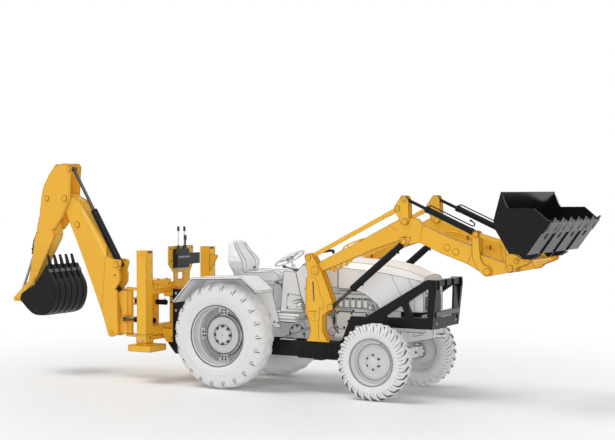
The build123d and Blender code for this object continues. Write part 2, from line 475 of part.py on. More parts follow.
# Loader bucket: bent shell between two side plates, teeth on the lip and ribs under the floor.
B_LIP, B_BACK1, B_BACK2, B_HEEL1, B_HEEL2, B_EDGE = (3873, 2547), (3783, 2214), (3808, 2111), (3976, 1841), (4185, 1832), (4463, 2218)
shell = [B_LIP, B_BACK1, B_BACK2, B_HEEL1, B_HEEL2, B_EDGE, (4455, 2224), (4174, 1846), (3986, 1855), (3822, 2117), (3798, 2212), (3886, 2541)]
side = [B_LIP, B_BACK1, B_BACK2, B_HEEL1, B_HEEL2, (4463, 2218), (4425, 2232), (4271, 2359, 20), (3960, 2356, 20), (3930, 2400, 40)]
parts = [plate(shell, -BUCKET_HALF, BUCKET_HALF)]
for s in (-1, 1):
    parts.append(plate(side, s * (BUCKET_HALF - 12), s * BUCKET_HALF))
EDGE_D = (0.585, 0.811)
for i in range(7):
    y = (i / 3 - 1) * (BUCKET_HALF - 80)
    a = (4385, 2110)
    tooth = [(a[0] - 12, a[1] + 8), (a[0] + 14, a[1] - 10), (a[0] + 0.585 * 175 + 8, a[1] + 0.811 * 175 - 6), (a[0] + 0.585 * 178, a[1] + 0.811 * 178), (a[0] + 0.585 * 80 - 26, a[1] + 0.811 * 80 + 19)]
    parts.append(plate(tooth, y - 28, y + 28))
for y in (-483, 0, 483):
    parts.append(plate([(3990, 1845), (4070, 1812), (4110, 1768, 10), (4140, 1772, 10), (4350, 2050), (4340, 2060), (4180, 1840)], y - 8, y + 8))
for s in (-1, 1):
    for y in (s * 412, s * 556):
        parts.append(plate([(3850, 2045), (3992, 1822), (4190, 1815), (4120, 1770, 20), (3998, 1770), (3968, 1800), (3880, 1985)], y - 8, y + 8))
    parts.append(block(3990, 4110, s * 404, s * 564, 1764, 1776))
nodes["loader_bucket"] = join(*parts)

# Backhoe frame: two leg tubes, an upper and a lower beam, and uprights that hook onto the black frame.
def leg_tube(s):
    t = block(LEG_X - 75, LEG_X + 75, s * (LEG_Y - 75), s * (LEG_Y + 75), 530, 1757)
    collar = block(LEG_X - 82, LEG_X + 82, s * (LEG_Y - 75), s * (LEG_Y + 82), 530, 640)
    return less(join(t, collar), block(LEG_X - 67, LEG_X + 67, s * (LEG_Y - 67), s * (LEG_Y + 67), 520, 1745))
def upright(s):
    return join(block(-1140, -955, s * 180, s * 290, 640, 1225), block(-1140, -957, s * 290, s * 424, 700, 760),
                block(-1140, -957, s * 290, s * 424, 1130, 1190), block(-975, -957, s * 290, s * 480, 660, 1225),
                plate([(-1140, 700), (-1140, 640), (-1062, 520), (-960, 520), (-958, 700)], s * 466, s * 480))
frame_all = join(both(leg_tube), block(-1285, -1135, -700, 700, 1170, 1300), block(-1285, -1135, -700, 700, 620, 750),
                 both(upright), block(-975, -957, -300, 300, 1000, 1225), pin((-985, 568), 19.5, -490, -425), pin((-985, 568), 19.5, 425, 490),
                 plate([(-1140, 1400), (-1000, 1620), (-1010, 1640), (-1140, 1650)], 700, 712))
nodes["backhoe_frame"] = frame_all

# Valve console: forked pedestal, valve block with a side box, and three levers.
nodes["valve_console"] = join(less(
    front([(-290, 1225), (80, 1225), (80, 1440), (160, 1560), (160, 1800), (-415, 1800), (-415, 1560), (-290, 1440)], -1080, -1060),
    block(-1090, -1050, -210, -75, 1350, 1445)),
    block(-1080, -957, -290, 80, 1225, 1240))
LEVERS = ((-1030, -240, 2070, 8), (-1045, -72, 2066, 8), (-1014, -98, 1949, 12))
nodes["valve_block"] = join(block(-1060, -1000, -330, -15, 1506, 1765), block(-1000, -985, -325, -90, 1535, 1702),
                            block(-1040, -1000, -15, 245, 1550, 1700),
                            *[pole((x, y, 1760), (x, y, z), r) for x, y, z, r in LEVERS],
                            *[pole((x, y, z - 62), (x, y, z), r + 8) for x, y, z, r in LEVERS])

# Stabilisers: inner leg with a flat foot, sliding in the leg tube.
for name, s in (("stabiliser_right", -1), ("stabiliser_left", 1)):
    nodes[name] = join(block(LEG_X - 60, LEG_X + 60, s * (LEG_Y - 60), s * (LEG_Y + 60), 480, 1700),
                       *[block(LEG_X - 66.7, LEG_X + 66.7, s * (LEG_Y - 66.7), s * (LEG_Y + 66.7), z, z + 40) for z in (550, 1600)],
                       block(-1390, -1030, s * 540, s * 900, 420, 500))

# Side-shift carriage: plate behind both beams, hooked over and under them, with two hinge lugs.
Y0, Y1 = HOE_Y - 180, HOE_Y + 180
carriage = join(block(-1400, -1300, Y0, Y1, 560, 1360), block(-1400, -1100, Y0, Y1, 1310, 1360), block(-1125, -1100, Y0, Y1, 1242, 1360),
                block(-1400, -1150, Y0, Y1, 560, 610))
for y in (Y0, Y1 - 50):
    carriage = join(carriage, block(-1300, -1285.3, y, y + 50, 1190, 1290), block(-1300, -1285.3, y, y + 50, 640, 740),
                    block(-1280, -1140, y, y + 50, 1300.3, 1310))
for z0, z1 in ((1205, 1232), (573, 600)):
    lug = join(plan([(-1400, HOE_Y - 120), (-1400, HOE_Y + 120), (SWING_X, HOE_Y + 58), (SWING_X, HOE_Y - 58)], z0, z1),
               pole((SWING_X, HOE_Y, z0), (SWING_X, HOE_Y, z1), 60))
    carriage = join(carriage, lug)
SWING_RODS = (("right", -135.0, 815.0), ("left", 135.0, 1040.0))
cut_tools = [pole((SWING_X, HOE_Y, 560), (SWING_X, HOE_Y, 1245), 30 + PIN_GAP)]
cut_tools += [pole((-1290, HOE_Y + dy, z), (-1410, HOE_Y + dy, z), 36) for _, dy, z in SWING_RODS]
cut_tools.append(block(-1420, -1290, HOE_Y - 60, HOE_Y + 60, 720, 1120))
nodes["carriage"] = less(carriage, *cut_tools)
nodes["swing_barrels"] = less(join(*[pole((-1147, HOE_Y + dy, z), (-1475, HOE_Y + dy, z), 36) for _, dy, z in SWING_RODS]),
                              *[pole((-1157, HOE_Y + dy, z), (-1480, HOE_Y + dy, z), 18.1) for _, dy, z in SWING_RODS])
for name, dy, z in SWING_RODS:
    nodes["swing_rod_" + name] = join(pole((-1300, HOE_Y + dy, z), (SWING_X, HOE_Y + dy, z), 18),
                                      pole((SWING_X, HOE_Y + dy, z - 25), (SWING_X, HOE_Y + dy, z + 25), 24))

# Swing post: tube on the swing pin, ears for the swing rods, foot lugs and the boom cylinder's lugs.
def rel(y):
    return HOE_Y + y
post_parts = [pole((SWING_X, HOE_Y, 606), (SWING_X, HOE_Y, 1199), 48), pole((SWING_X, HOE_Y, 575), (SWING_X, HOE_Y, 1230), 30)]
for _, dy, z in SWING_RODS:
    for z0 in (z - 46, z + 31):
        post_parts.append(plan([(SWING_X - 45, rel(0)), (SWING_X - 38, rel(dy)), (SWING_X + 38, rel(dy)), (SWING_X + 45, rel(0))]
                               if dy > 0 else
                               [(SWING_X + 45, rel(0)), (SWING_X + 38, rel(dy)), (SWING_X - 38, rel(dy)), (SWING_X - 45, rel(0))], z0, z0 + 15))
        post_parts.append(pole((SWING_X, rel(dy), z0), (SWING_X, rel(dy), z0 + 15), 34))
KING = [(-1650, 610), (-1650, 1195), (-1740, 1195), (-1800, 1165, 40), (-1838, 1120, 44), (-1800, 1070, 40), (-1740, 900, 60), (-1800, 700, 60), (-1889, 670, 48), (-1940, 620, 48),
        (-1889, 572, 48), (-1760, 610)]
for s in (-1, 1):
    post_parts.append(plate(KING, rel(s * 46), rel(s * 60)))
    post_parts.append(pin(BOOM_F, 48, rel(s * 56), rel(s * 68)))
post_parts += [pin(BOOM_F, 25, rel(-118), rel(118)), block(-1740, -1690, rel(-48), rel(48), 640, 1000), pin(BOOM_C, 20, rel(-58), rel(58))]
nodes["swing_post"] = join(*post_parts)

# Boom: two side plates with doublers below, closed by a top flange and open underneath for its cylinder.
BOOM_SIDE = [(-1780, 596), (-1797, 1197), (-1831, 1207), (-1756, 1309), (-1749, 1418), (-1770, 1470), (-1735, 1560), (-1745, 1610, 20), (-1870, 1622, 20),
             (-1986, 1668), (-1983, 1808), (-2428, 2413), (-2560, 2475), (-2620, 2512), (-2720, 2512, 50), (-2765, 2440, 50), (-2730, 2370), (-2592, 2060), (-2528, 1938), (-2337, 1520), (-2080, 930),
             (-1950, 600), (-1930, 560, 40), (-1870, 556, 40)]
BOOM_DOUBLE = [(-1780, 596), (-1797, 1197), (-1831, 1207), (-1756, 1309), (-1749, 1418), (-1770, 1470), (-1735, 1560), (-1745, 1610, 20), (-1870, 1622, 20), (-1986, 1668),
               (-2050, 910), (-1950, 600), (-1930, 560, 40), (-1870, 556, 40)]
boom_parts = []
for s in (-1, 1):
    boom_parts += [plate(BOOM_SIDE, rel(s * 74), rel(s * 88)), plate(BOOM_DOUBLE, rel(s * 88), rel(s * 106)),
                   pin(BOOM_M, 40, rel(s * 88), rel(s * 98)), pin(DIP_B, 42, rel(s * 106), rel(s * 114))]
flange = [(-1932, 1625), (-2024, 1778), (-2428, 2400), (-2560, 2475), (-2620, 2512), (-2690, 2512), (-2690, 2498), (-2618, 2498), (-2556, 2461), (-2438, 2392), (-2036, 1786), (-1944, 1632)]
boom_parts += [plate(flange, rel(-80), rel(80)), pin(DIP_B, 20, rel(-100), rel(100)),
               plate([(-2765, 2440, 30), (-2730, 2370), (-2640, 2170), (-2625, 2176), (-2716, 2376), (-2750, 2440, 20)], rel(-80), rel(80))]
boom = join(*boom_parts)
boom = less(boom, pin(BOOM_F, 25 + PIN_GAP, rel(-130), rel(130)), pin(DIP_D, 26 + PIN_GAP, rel(-130), rel(130)))
nodes["boom"] = boom

# Boom cylinder inside the boom.
a, b = at_length(BOOM_C, BOOM_M, 30), at_length(BOOM_C, BOOM_M, 950)
barrel = join(pole((a[0], HOE_Y, a[1]), (b[0], HOE_Y, b[1]), 42), pin(BOOM_C, 44, rel(-31), rel(31)))
h0, h1 = at_length(BOOM_C, BOOM_M, 120), at_length(BOOM_C, BOOM_M, 980)
barrel = less(barrel, pole((h0[0], HOE_Y, h0[1]), (h1[0], HOE_Y, h1[1]), 23), pin(BOOM_C, 20 + PIN_GAP, rel(-60), rel(60)))
nodes["boom_barrel"] = barrel
r0, r1 = at_length(BOOM_M, BOOM_C, 30), at_length(BOOM_C, BOOM_M, 185)
nodes["boom_rod"] = join(pole((r0[0], HOE_Y, r0[1]), (r1[0], HOE_Y, r1[1]), 22.9), pin(BOOM_M, 38, rel(-66), rel(66)))

# Dipper: wide head plates over the boom tip and a tapering box below.
DIP_HEAD = [(-2679, 2937, 60), (-2590, 2925, 50), (-2563, 2880, 20), (-2572, 2819), (-2592, 2454), (-2710, 2212), (-2861, 2016), (-2930, 2010, 20), (-3050, 2010), (-3180, 1950),
            (-3132, 2229), (-3097, 2483, 60), (-3064, 2597, 100), (-2971, 2749, 100), (-2830, 2910, 100)]
DIP_BOX = [(-2880, 2120), (-2870, 1934), (-3100, 1540), (-3250, 1270), (-3290, 1060, 50), (-3390, 1060, 50), (-3392, 1170, 30), (-3344, 1350), (-3217, 1926), (-3160, 2180), (-3080, 2240), (-2960, 2240)]
dip = []
for s in (-1, 1):
    dip += [plate(DIP_HEAD, rel(s * 94), rel(s * 108)), plate(DIP_BOX, rel(s * 66), rel(s * 80)),
            plate([(-2870, 2010), (-2960, 2240), (-3080, 2240), (-3150, 2180), (-3200, 1960), (-3050, 2010)], rel(s * 80), rel(s * 94)),
            pin(DIP_D, 26, rel(s * 60), rel(s * 116)), pin(HOE_B, 36, rel(s * 108), rel(s * 116)), pin(DIP_D, 44, rel(s * 108), rel(s * 117)),
            pin(DIP_P, 34, rel(s * 108), rel(s * 115))]
dip += [pin(DIP_D, 26, rel(-116), rel(116)), pin(HOE_B, 20, rel(-108), rel(108)),
        plate([(-2960, 2240), (-2880, 2120), (-2870, 1934), (-3100, 1540), (-3250, 1270), (-3262, 1276), (-3112, 1548), (-2884, 1938), (-2894, 2118), (-2968, 2230)], rel(-80), rel(80)),
        plate([(-3385, 1170), (-3344, 1350), (-3315, 1482), (-3301, 1480), (-3330, 1348), (-3371, 1168)], rel(-80), rel(80)),
        plate([(-2830, 2910), (-2971, 2749), (-2982, 2758), (-2841, 2921)], rel(-108), rel(108)),
        pin(HOE_G, 48, rel(-80), rel(80)), pin(HOE_R, 40, rel(-80), rel(80))]
dipper = join(*dip)
dipper = less(dipper, pin(HOE_G, 22 + PIN_GAP, rel(-130), rel(130)))
dipper = join(dipper, pin(HOE_R, 18, rel(-102), rel(102)))
nodes["dipper"] = dipper

# Dipper cylinder on top of the boom.
a, b = at_length(DIP_B, DIP_P, 28), at_length(DIP_B, DIP_P, 870)
barrel = join(pole((a[0], HOE_Y, a[1]), (b[0], HOE_Y, b[1]), 42), pin(DIP_B, 40, rel(-34), rel(34)))
h0, h1 = at_length(DIP_B, DIP_P, 100), at_length(DIP_B, DIP_P, 900)
nodes["dipper_barrel"] = less(barrel, pole((h0[0], HOE_Y, h0[1]), (h1[0], HOE_Y, h1[1]), 23), pin(DIP_B, 20 + PIN_GAP, rel(-60), rel(60)))
r0, r1 = at_length(DIP_P, DIP_B, 20), at_length(DIP_B, DIP_P, 800)
nodes["dipper_rod"] = join(pole((r0[0], HOE_Y, r0[1]), (r1[0], HOE_Y, r1[1]), 22.9), pin(DIP_P, 32, rel(-40), rel(40)))

# Bucket cylinder behind the dipper.
a, b = at_length(HOE_B, HOE_J, 26), at_length(HOE_B, HOE_J, 860)
barrel = join(pole((a[0], HOE_Y, a[1]), (b[0], HOE_Y, b[1]), 38), pin(HOE_B, 36, rel(-32), rel(32)))
h0, h1 = at_length(HOE_B, HOE_J, 100), at_length(HOE_B, HOE_J, 900)
nodes["hoe_barrel"] = less(barrel, pole((h0[0], HOE_Y, h0[1]), (h1[0], HOE_Y, h1[1]), 20.1), pin(HOE_B, 20 + PIN_GAP, rel(-60), rel(60)))
r0, r1 = at_length(HOE_J, HOE_B, 20), at_length(HOE_B, HOE_J, 790)
nodes["hoe_rod"] = join(pole((r0[0], HOE_Y, r0[1]), (r1[0], HOE_Y, r1[1]), 20), pin(HOE_J, 30, rel(-22), rel(22)))

# Rocker plates and the link down to the bucket.
rock = join(*[bar(HOE_R, HOE_J, 70, rel(s * 86), rel(s * 100), 38, 36) for s in (-1, 1)], *[pin(HOE_J, 18, rel(s * 36), rel(s * 100)) for s in (-1, 1)])
nodes["hoe_rocker"] = less(rock, pin(HOE_R, 18 + PIN_GAP, rel(-120), rel(120)))
hlink = join(*[bar(HOE_J, HOE_S, 62, rel(s * 34), rel(s * 54), 34, 32) for s in (-1, 1)], pin(HOE_S, 24, rel(-100), rel(100)))
nodes["hoe_link"] = less(hlink, pin(HOE_J, 18 + PIN_GAP, rel(-80), rel(80)))

# Backhoe bucket: rounded shell between side plates, ears, teeth and wear strips.
OUT = [(-2822, 1527), (-2752, 1386), (-2676, 1250), (-2662, 1130), (-2690, 990), (-2755, 884), (-2850, 832), (-2950, 826), (-3050, 840), (-3167, 915), (-3291, 1035)]
INN = [(-3283, 1044), (-3162, 926), (-3048, 853), (-2950, 839), (-2853, 845), (-2764, 894), (-2702, 995), (-2675, 1131), (-2688, 1246), (-2763, 1380), (-2833, 1520)]
SIDE = OUT + [(-3270, 1110, 20), (-3225, 1142, 20), (-3029, 1252, 80), (-2916, 1385, 60)]
bucket = [plate(OUT + INN, HOE_Y - HOE_HALF, HOE_Y + HOE_HALF)]
for s in (-1, 1):
    bucket.append(plate(SIDE, rel(s * (HOE_HALF - 12)), rel(s * HOE_HALF)))
    bucket.append(plate([(-3392, 1110, 40), (-3350, 1160, 40), (-3225, 1135), (-3180, 1050), (-3150, 930), (-3180, 895), (-3290, 895, 40), (-3336, 930, 40)], rel(s * 106), rel(s * 122)))
    bucket += [pin(HOE_G, 40, rel(s * 122), rel(s * 130)), pin(HOE_S, 34, rel(s * 122), rel(s * 130))]
bucket += [pin(HOE_G, 22, rel(-122), rel(122)), block(-3215, -3165, rel(-122), rel(122), 925, 955)]
for k in (-0.8, -0.4, 0.0, 0.4, 0.8):
    y = k * (HOE_HALF - 30)
    bucket.append(plate([(-2826, 1420), (-2862, 1440), (-2845, 1540), (-2872, 1655), (-2862, 1660), (-2822, 1560), (-2790, 1430)], rel(y - 22), rel(y + 22)))
nodes["hoe_bucket"] = join(*bucket)

for name, shape in nodes.items():
    export_step(shape.moved(Location((-X_MID, 0, 0))), "parts/" + name + ".step")
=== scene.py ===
from math import cos, hypot, pi, radians, sin

import bmesh
import bpy
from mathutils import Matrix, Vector


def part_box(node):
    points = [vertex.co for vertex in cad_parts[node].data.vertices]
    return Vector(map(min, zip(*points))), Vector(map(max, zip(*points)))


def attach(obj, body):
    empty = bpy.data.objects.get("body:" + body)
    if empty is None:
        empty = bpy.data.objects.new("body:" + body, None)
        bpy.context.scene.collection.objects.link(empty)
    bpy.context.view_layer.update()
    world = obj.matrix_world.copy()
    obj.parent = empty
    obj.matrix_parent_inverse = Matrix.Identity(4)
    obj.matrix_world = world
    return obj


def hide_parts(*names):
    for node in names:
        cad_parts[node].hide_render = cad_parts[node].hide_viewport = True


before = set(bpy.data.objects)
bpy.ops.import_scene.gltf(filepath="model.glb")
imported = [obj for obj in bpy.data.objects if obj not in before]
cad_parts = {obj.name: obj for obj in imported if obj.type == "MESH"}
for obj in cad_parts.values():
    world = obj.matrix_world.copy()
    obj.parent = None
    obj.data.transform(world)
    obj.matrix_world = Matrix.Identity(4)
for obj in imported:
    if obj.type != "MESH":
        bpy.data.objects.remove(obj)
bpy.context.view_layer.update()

# Viewpoint
# The machine stands in three-quarter view from its right, seen from just above the hood with a long
# lens. Lengths are counted from the rear axle, as a fitter would lay the machine out.
rear_low, rear_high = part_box("tyre_rear_right")
AXLE_X = (rear_low.x + rear_high.x) / 2
VIEW_TURN, VIEW_DROP = 28.749, 1.565
VIEW_PLACE = (9.289, -15.395, 2.578)
LENS, SENSOR, RISE = 78.53, 36.0, 0.0093


def at(x, y, z):
    # A place on the machine: metres ahead of the rear axle, left of the middle and above the ground.
    return Vector((x + AXLE_X, y, z))


lens = bpy.data.cameras.new("viewpoint")
lens.sensor_width, lens.lens, lens.shift_y = SENSOR, LENS, RISE
camera = bpy.data.objects.new("viewpoint", lens)
camera.location = at(*VIEW_PLACE)
camera.rotation_euler = (radians(90 - VIEW_DROP), 0, radians(VIEW_TURN))
bpy.context.scene.collection.objects.link(camera)
bpy.context.scene.camera = camera
bpy.context.scene.view_settings.view_transform = "Standard"

# Studio
# A pale seamless floor, left darker near the machine as painted shade, that fades farther out into a
# self-lit white; a white surround, a broad lamp overhead and a soft one ahead. The surround is plain
# white behind the machine and in its gloss, and a softer white as light.
FLOOR_SIZE, FLOOR_TONE = 90.0, 0.84
FADE_START, FADE_END = 2.0, 8.0
SURROUND_LIGHT = 0.42
LAMPS = (("key", 1.6, 30.0, (-0.42, -0.20, 1.0), True),
         ("fill", 1.05, 60.0, (0.70, -0.68, 0.34), False))

world = bpy.data.worlds.new("surround")
bpy.context.scene.world = world
world.use_nodes = True
sky = world.node_tree
sky.nodes.clear()
rays = sky.nodes.new("ShaderNodeLightPath")
seen = sky.nodes.new("ShaderNodeMath")
seen.operation = "MAXIMUM"
sky.links.new(rays.outputs["Is Camera Ray"], seen.inputs[0])
sky.links.new(rays.outputs["Is Glossy Ray"], seen.inputs[1])
through = sky.nodes.new("ShaderNodeMath")
through.operation = "MAXIMUM"
sky.links.new(seen.outputs[0], through.inputs[0])
sky.links.new(rays.outputs["Is Transmission Ray"], through.inputs[1])
lit, shown = sky.nodes.new("ShaderNodeBackground"), sky.nodes.new("ShaderNodeBackground")
lit.inputs["Strength"].default_value = SURROUND_LIGHT
shown.inputs["Color"].default_value = lit.inputs["Color"].default_value = (1, 1, 1, 1)
choose = sky.nodes.new("ShaderNodeMixShader")
sky.links.new(through.outputs[0], choose.inputs[0])
sky.links.new(lit.outputs[0], choose.inputs[1])
sky.links.new(shown.outputs[0], choose.inputs[2])
sky.links.new(choose.outputs[0], sky.nodes.new("ShaderNodeOutputWorld").inputs[0])

for name, power, size, place, shadow in LAMPS:
    bulb = bpy.data.lights.new(name, "SUN")
    bulb.energy, bulb.angle, bulb.use_shadow = power, radians(size), shadow
    lamp = bpy.data.objects.new(name, bulb)
    lamp.rotation_euler = Vector(place).to_track_quat("Z", "Y").to_euler()
    bpy.context.scene.collection.objects.link(lamp)

bpy.ops.mesh.primitive_plane_add(size=FLOOR_SIZE)
floor = bpy.context.active_object
floor.name = "floor"
floor_look = bpy.data.materials.new("pale_floor")
floor_look.use_nodes = True
look = floor_look.node_tree
matt = look.nodes["Principled BSDF"]
# Near the machine the floor keeps its darker tone as painted shade; from FADE_START to FADE_END it
# blends into a self-lit white, painted light.
matt.inputs["Base Color"].default_value = (FLOOR_TONE, FLOOR_TONE, FLOOR_TONE, 1)
matt.inputs["Roughness"].default_value = 0.55
white = look.nodes.new("ShaderNodeEmission")
spot = look.nodes.new("ShaderNodeTexCoord")
reach = look.nodes.new("ShaderNodeVectorMath")
reach.operation = "LENGTH"
look.links.new(spot.outputs["Object"], reach.inputs[0])
fade = look.nodes.new("ShaderNodeMapRange")
fade.interpolation_type = "SMOOTHSTEP"
fade.inputs["From Min"].default_value = FADE_START
fade.inputs["From Max"].default_value = FADE_END
look.links.new(reach.outputs["Value"], fade.inputs["Value"])
blend = look.nodes.new("ShaderNodeMixShader")
look.links.new(fade.outputs["Result"], blend.inputs[0])
look.links.new(matt.outputs[0], blend.inputs[1])
look.links.new(white.outputs[0], blend.inputs[2])
look.links.new(blend.outputs[0], look.nodes["Material Output"].inputs[0])
floor.data.materials.append(floor_look)

# Gearbox and rear axle
# An iron casting behind the engine, bolted up from housings, with the axle trumpets on either side.
# It wears the tractor's pale coat, and every crease on the tractor is drawn with a thin dark line.
LINE_RADIUS, LINE_CREASE = 0.0028, 24.0
BREAK_EDGE = 0.004


def finish(name, colour, rough, metal=0.0, coat=0.0, mottle=0.02, grain=0.0, sheen=0.5):
    # A paint, rubber or metal whose tone drifts a little and whose corners are slightly rounded.
    surface = bpy.data.materials.new(name)
    surface.use_nodes = True
    tree = surface.node_tree
    skin = tree.nodes["Principled BSDF"]
    skin.inputs["Metallic"].default_value = metal
    skin.inputs["Coat Weight"].default_value = coat
    skin.inputs["Coat Roughness"].default_value = 0.12
    skin.inputs["Specular IOR Level"].default_value = sheen
    place = tree.nodes.new("ShaderNodeTexCoord")
    cloud = tree.nodes.new("ShaderNodeTexNoise")
    cloud.inputs["Scale"].default_value = 2.3
    cloud.inputs["Detail"].default_value = 4
    tree.links.new(place.outputs["Object"], cloud.inputs["Vector"])
    tone = tree.nodes.new("ShaderNodeMapRange")
    tone.inputs["From Min"].default_value, tone.inputs["From Max"].default_value = 0.3, 0.7
    tone.inputs["To Min"].default_value, tone.inputs["To Max"].default_value = 1 - mottle, 1 + mottle
    tree.links.new(cloud.outputs["Fac"], tone.inputs["Value"])
    tint = tree.nodes.new("ShaderNodeHueSaturation")
    tint.inputs["Color"].default_value = (*colour, 1)
    tree.links.new(tone.outputs["Result"], tint.inputs["Value"])
    tree.links.new(tint.outputs["Color"], skin.inputs["Base Color"])
    wear = tree.nodes.new("ShaderNodeMapRange")
    wear.inputs["From Min"].default_value, wear.inputs["From Max"].default_value = 0.3, 0.7
    wear.inputs["To Min"].default_value = max(0.02, rough * 0.85)
    wear.inputs["To Max"].default_value = min(1.0, rough * 1.15)
    tree.links.new(cloud.outputs["Fac"], wear.inputs["Value"])
    tree.links.new(wear.outputs["Result"], skin.inputs["Roughness"])
    corner = tree.nodes.new("ShaderNodeBevel")
    corner.samples = 3
    corner.inputs["Radius"].default_value = BREAK_EDGE
    tree.links.new(corner.outputs["Normal"], skin.inputs["Normal"])
    if grain:
        speck = tree.nodes.new("ShaderNodeTexNoise")
        speck.inputs["Scale"].default_value = 70
        tree.links.new(place.outputs["Object"], speck.inputs["Vector"])
        relief = tree.nodes.new("ShaderNodeBump")
        relief.inputs["Strength"].default_value = 0.35
        relief.inputs["Distance"].default_value = grain
        tree.links.new(speck.outputs["Fac"], relief.inputs["Height"])
        tree.links.new(corner.outputs["Normal"], relief.inputs["Normal"])
        tree.links.new(relief.outputs["Normal"], skin.inputs["Normal"])
    return surface


def dress(surface, *nodes):
    # Gives whole pieces of the frame their finish.
    for node in nodes:
        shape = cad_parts[node].data
        shape.materials.clear()
        shape.materials.append(surface)


class Shape:
    # Gathers plates, rods, turned rings and bent tubes into one mesh, each with its own finish.
    # Places are metres ahead of the rear axle, left of the middle and above the ground.
    def __init__(self):
        self.mesh, self.looks = bmesh.new(), []

    def skin(self, rings, look, closed=False):
        # A skin through rings of points, each with the same count. It ends in two caps,
        # or its last ring is joined to its first.
        if look not in self.looks:
            self.looks.append(look)
        rows = [[self.mesh.verts.new(p) for p in ring] for ring in rings]
        faces = []
        for low, high in zip(rows, rows[1:] + rows[:1] if closed else rows[1:]):
            for i in range(len(low)):
                j = (i + 1) % len(low)
                faces.append(self.mesh.faces.new((low[i], low[j], high[j], high[i])))
        if not closed:
            faces += [self.mesh.faces.new(rows[0][::-1]), self.mesh.faces.new(rows[-1])]
        for face in faces:
            face.material_index = self.looks.index(look)
            face.smooth = True

    def plate(self, outline, y0, y1, look):
        # A plate with an outline seen from the side, between two distances left of the middle.
        self.skin([[at(x, y, z) for x, z in outline] for y in (y0, y1)], look)

    def block(self, low, high, look):
        (x0, y0, z0), (x1, y1, z1) = low, high
        self.plate([(x0, z0), (x1, z0), (x1, z1), (x0, z1)], y0, y1, look)

    def slab(self, outline, z0, z1, look):
        # A plate with an outline seen from above, between two heights.
        self.skin([[at(x, y, z) for x, y in outline] for z in (z0, z1)], look)

    def panel(self, outline, x0, x1, look):
        # A plate with an outline seen from the front, given as (left, up), between two distances ahead.
        self.skin([[at(x, y, z) for y, z in outline] for x in (x0, x1)], look)

    def turned(self, start, end, profile, look, sides=32, closed=False):
        # A shape turned about the line from start; profile holds (distance along it in metres, radius).
        start, end = at(*start), at(*end)
        away = (end - start).normalized()
        across = away.orthogonal().normalized()
        if abs(away.y) > 0.9:
            across = Vector((1, 0, 0))
        over = away.cross(across)
        rings = []
        for along, radius in profile:
            rings.append([start + away * along
                          + (across * cos(2 * pi * k / sides) + over * sin(2 * pi * k / sides))
                          * radius for k in range(sides)])
        self.skin(rings, look, closed)

    def ring(self, pin, y, side, one, other, thick, look, sides=28, sunk=0.0):
        # A flat ring between two radii on a pin that lies across the machine.
        x, z = pin
        self.turned((x, y, z), (x, y + side, z),
                    [(-sunk, one), (thick, one), (thick, other), (-sunk, other)], look, sides, True)

    def rod(self, start, end, radius, look, sides=20):
        length = (at(*end) - at(*start)).length
        self.turned(start, end, [(0, radius), (length, radius)], look, sides)

    def tube(self, path, radius, look, bend=0.05, sides=10):
        # A bent tube along a path whose corners are rounded.
        spots = [at(*p) for p in path]
        line = [spots[0]]
        for before, corner, after in zip(spots, spots[1:], spots[2:]):
            into, out = (before - corner), (after - corner)
            reach = min(bend, into.length * 0.45, out.length * 0.45)
            a, b = corner + into.normalized() * reach, corner + out.normalized() * reach
            for k in range(7):
                t = k / 6
                line.append(a * (1 - t) ** 2 + corner * (2 * t * (1 - t)) + b * t ** 2)
        line.append(spots[-1])
        rings, across = [], None
        for k, spot in enumerate(line):
            ahead = (line[min(k + 1, len(line) - 1)] - line[max(k - 1, 0)]).normalized()
            across = ahead.orthogonal() if across is None else across - ahead * across.dot(ahead)
            across.normalize()
            over = ahead.cross(across)
            rings.append([spot + (across * cos(2 * pi * n / sides)
                                  + over * sin(2 * pi * n / sides)) * radius
                          for n in range(sides)])
        self.skin(rings, look)

    def bolt(self, spot, facing, across, look, high=None):
        # A six-sided head on a thin washer, standing on a face.
        x, y, z = spot
        fx, fy, fz = facing
        high = high or across * 0.55
        tip = (x + fx, y + fy, z + fz)
        self.turned(spot, tip, [(-0.001, across * 0.72), (high * 0.2, across * 0.72)], look, 12)
        self.turned(spot, tip, [(high * 0.2, across * 0.56), (high * 0.85, across * 0.56),
                                (high, across * 0.44)], look, 6)

    def done(self, name, body, slot, crease=32):
        # The finished mesh, with its faces outwards and its corners sharp, riding on its body.
        bmesh.ops.recalc_face_normals(self.mesh, faces=self.mesh.faces)
        shape = bpy.data.meshes.new(name)
        self.mesh.to_mesh(shape)
        self.mesh.free()
        for look in self.looks:
            shape.materials.append(look)
        shape.set_sharp_from_angle(angle=radians(crease))
        piece = bpy.data.objects.new(name, shape)
        bpy.context.scene.collection.objects.link(piece)
        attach(piece, body)
        return piece


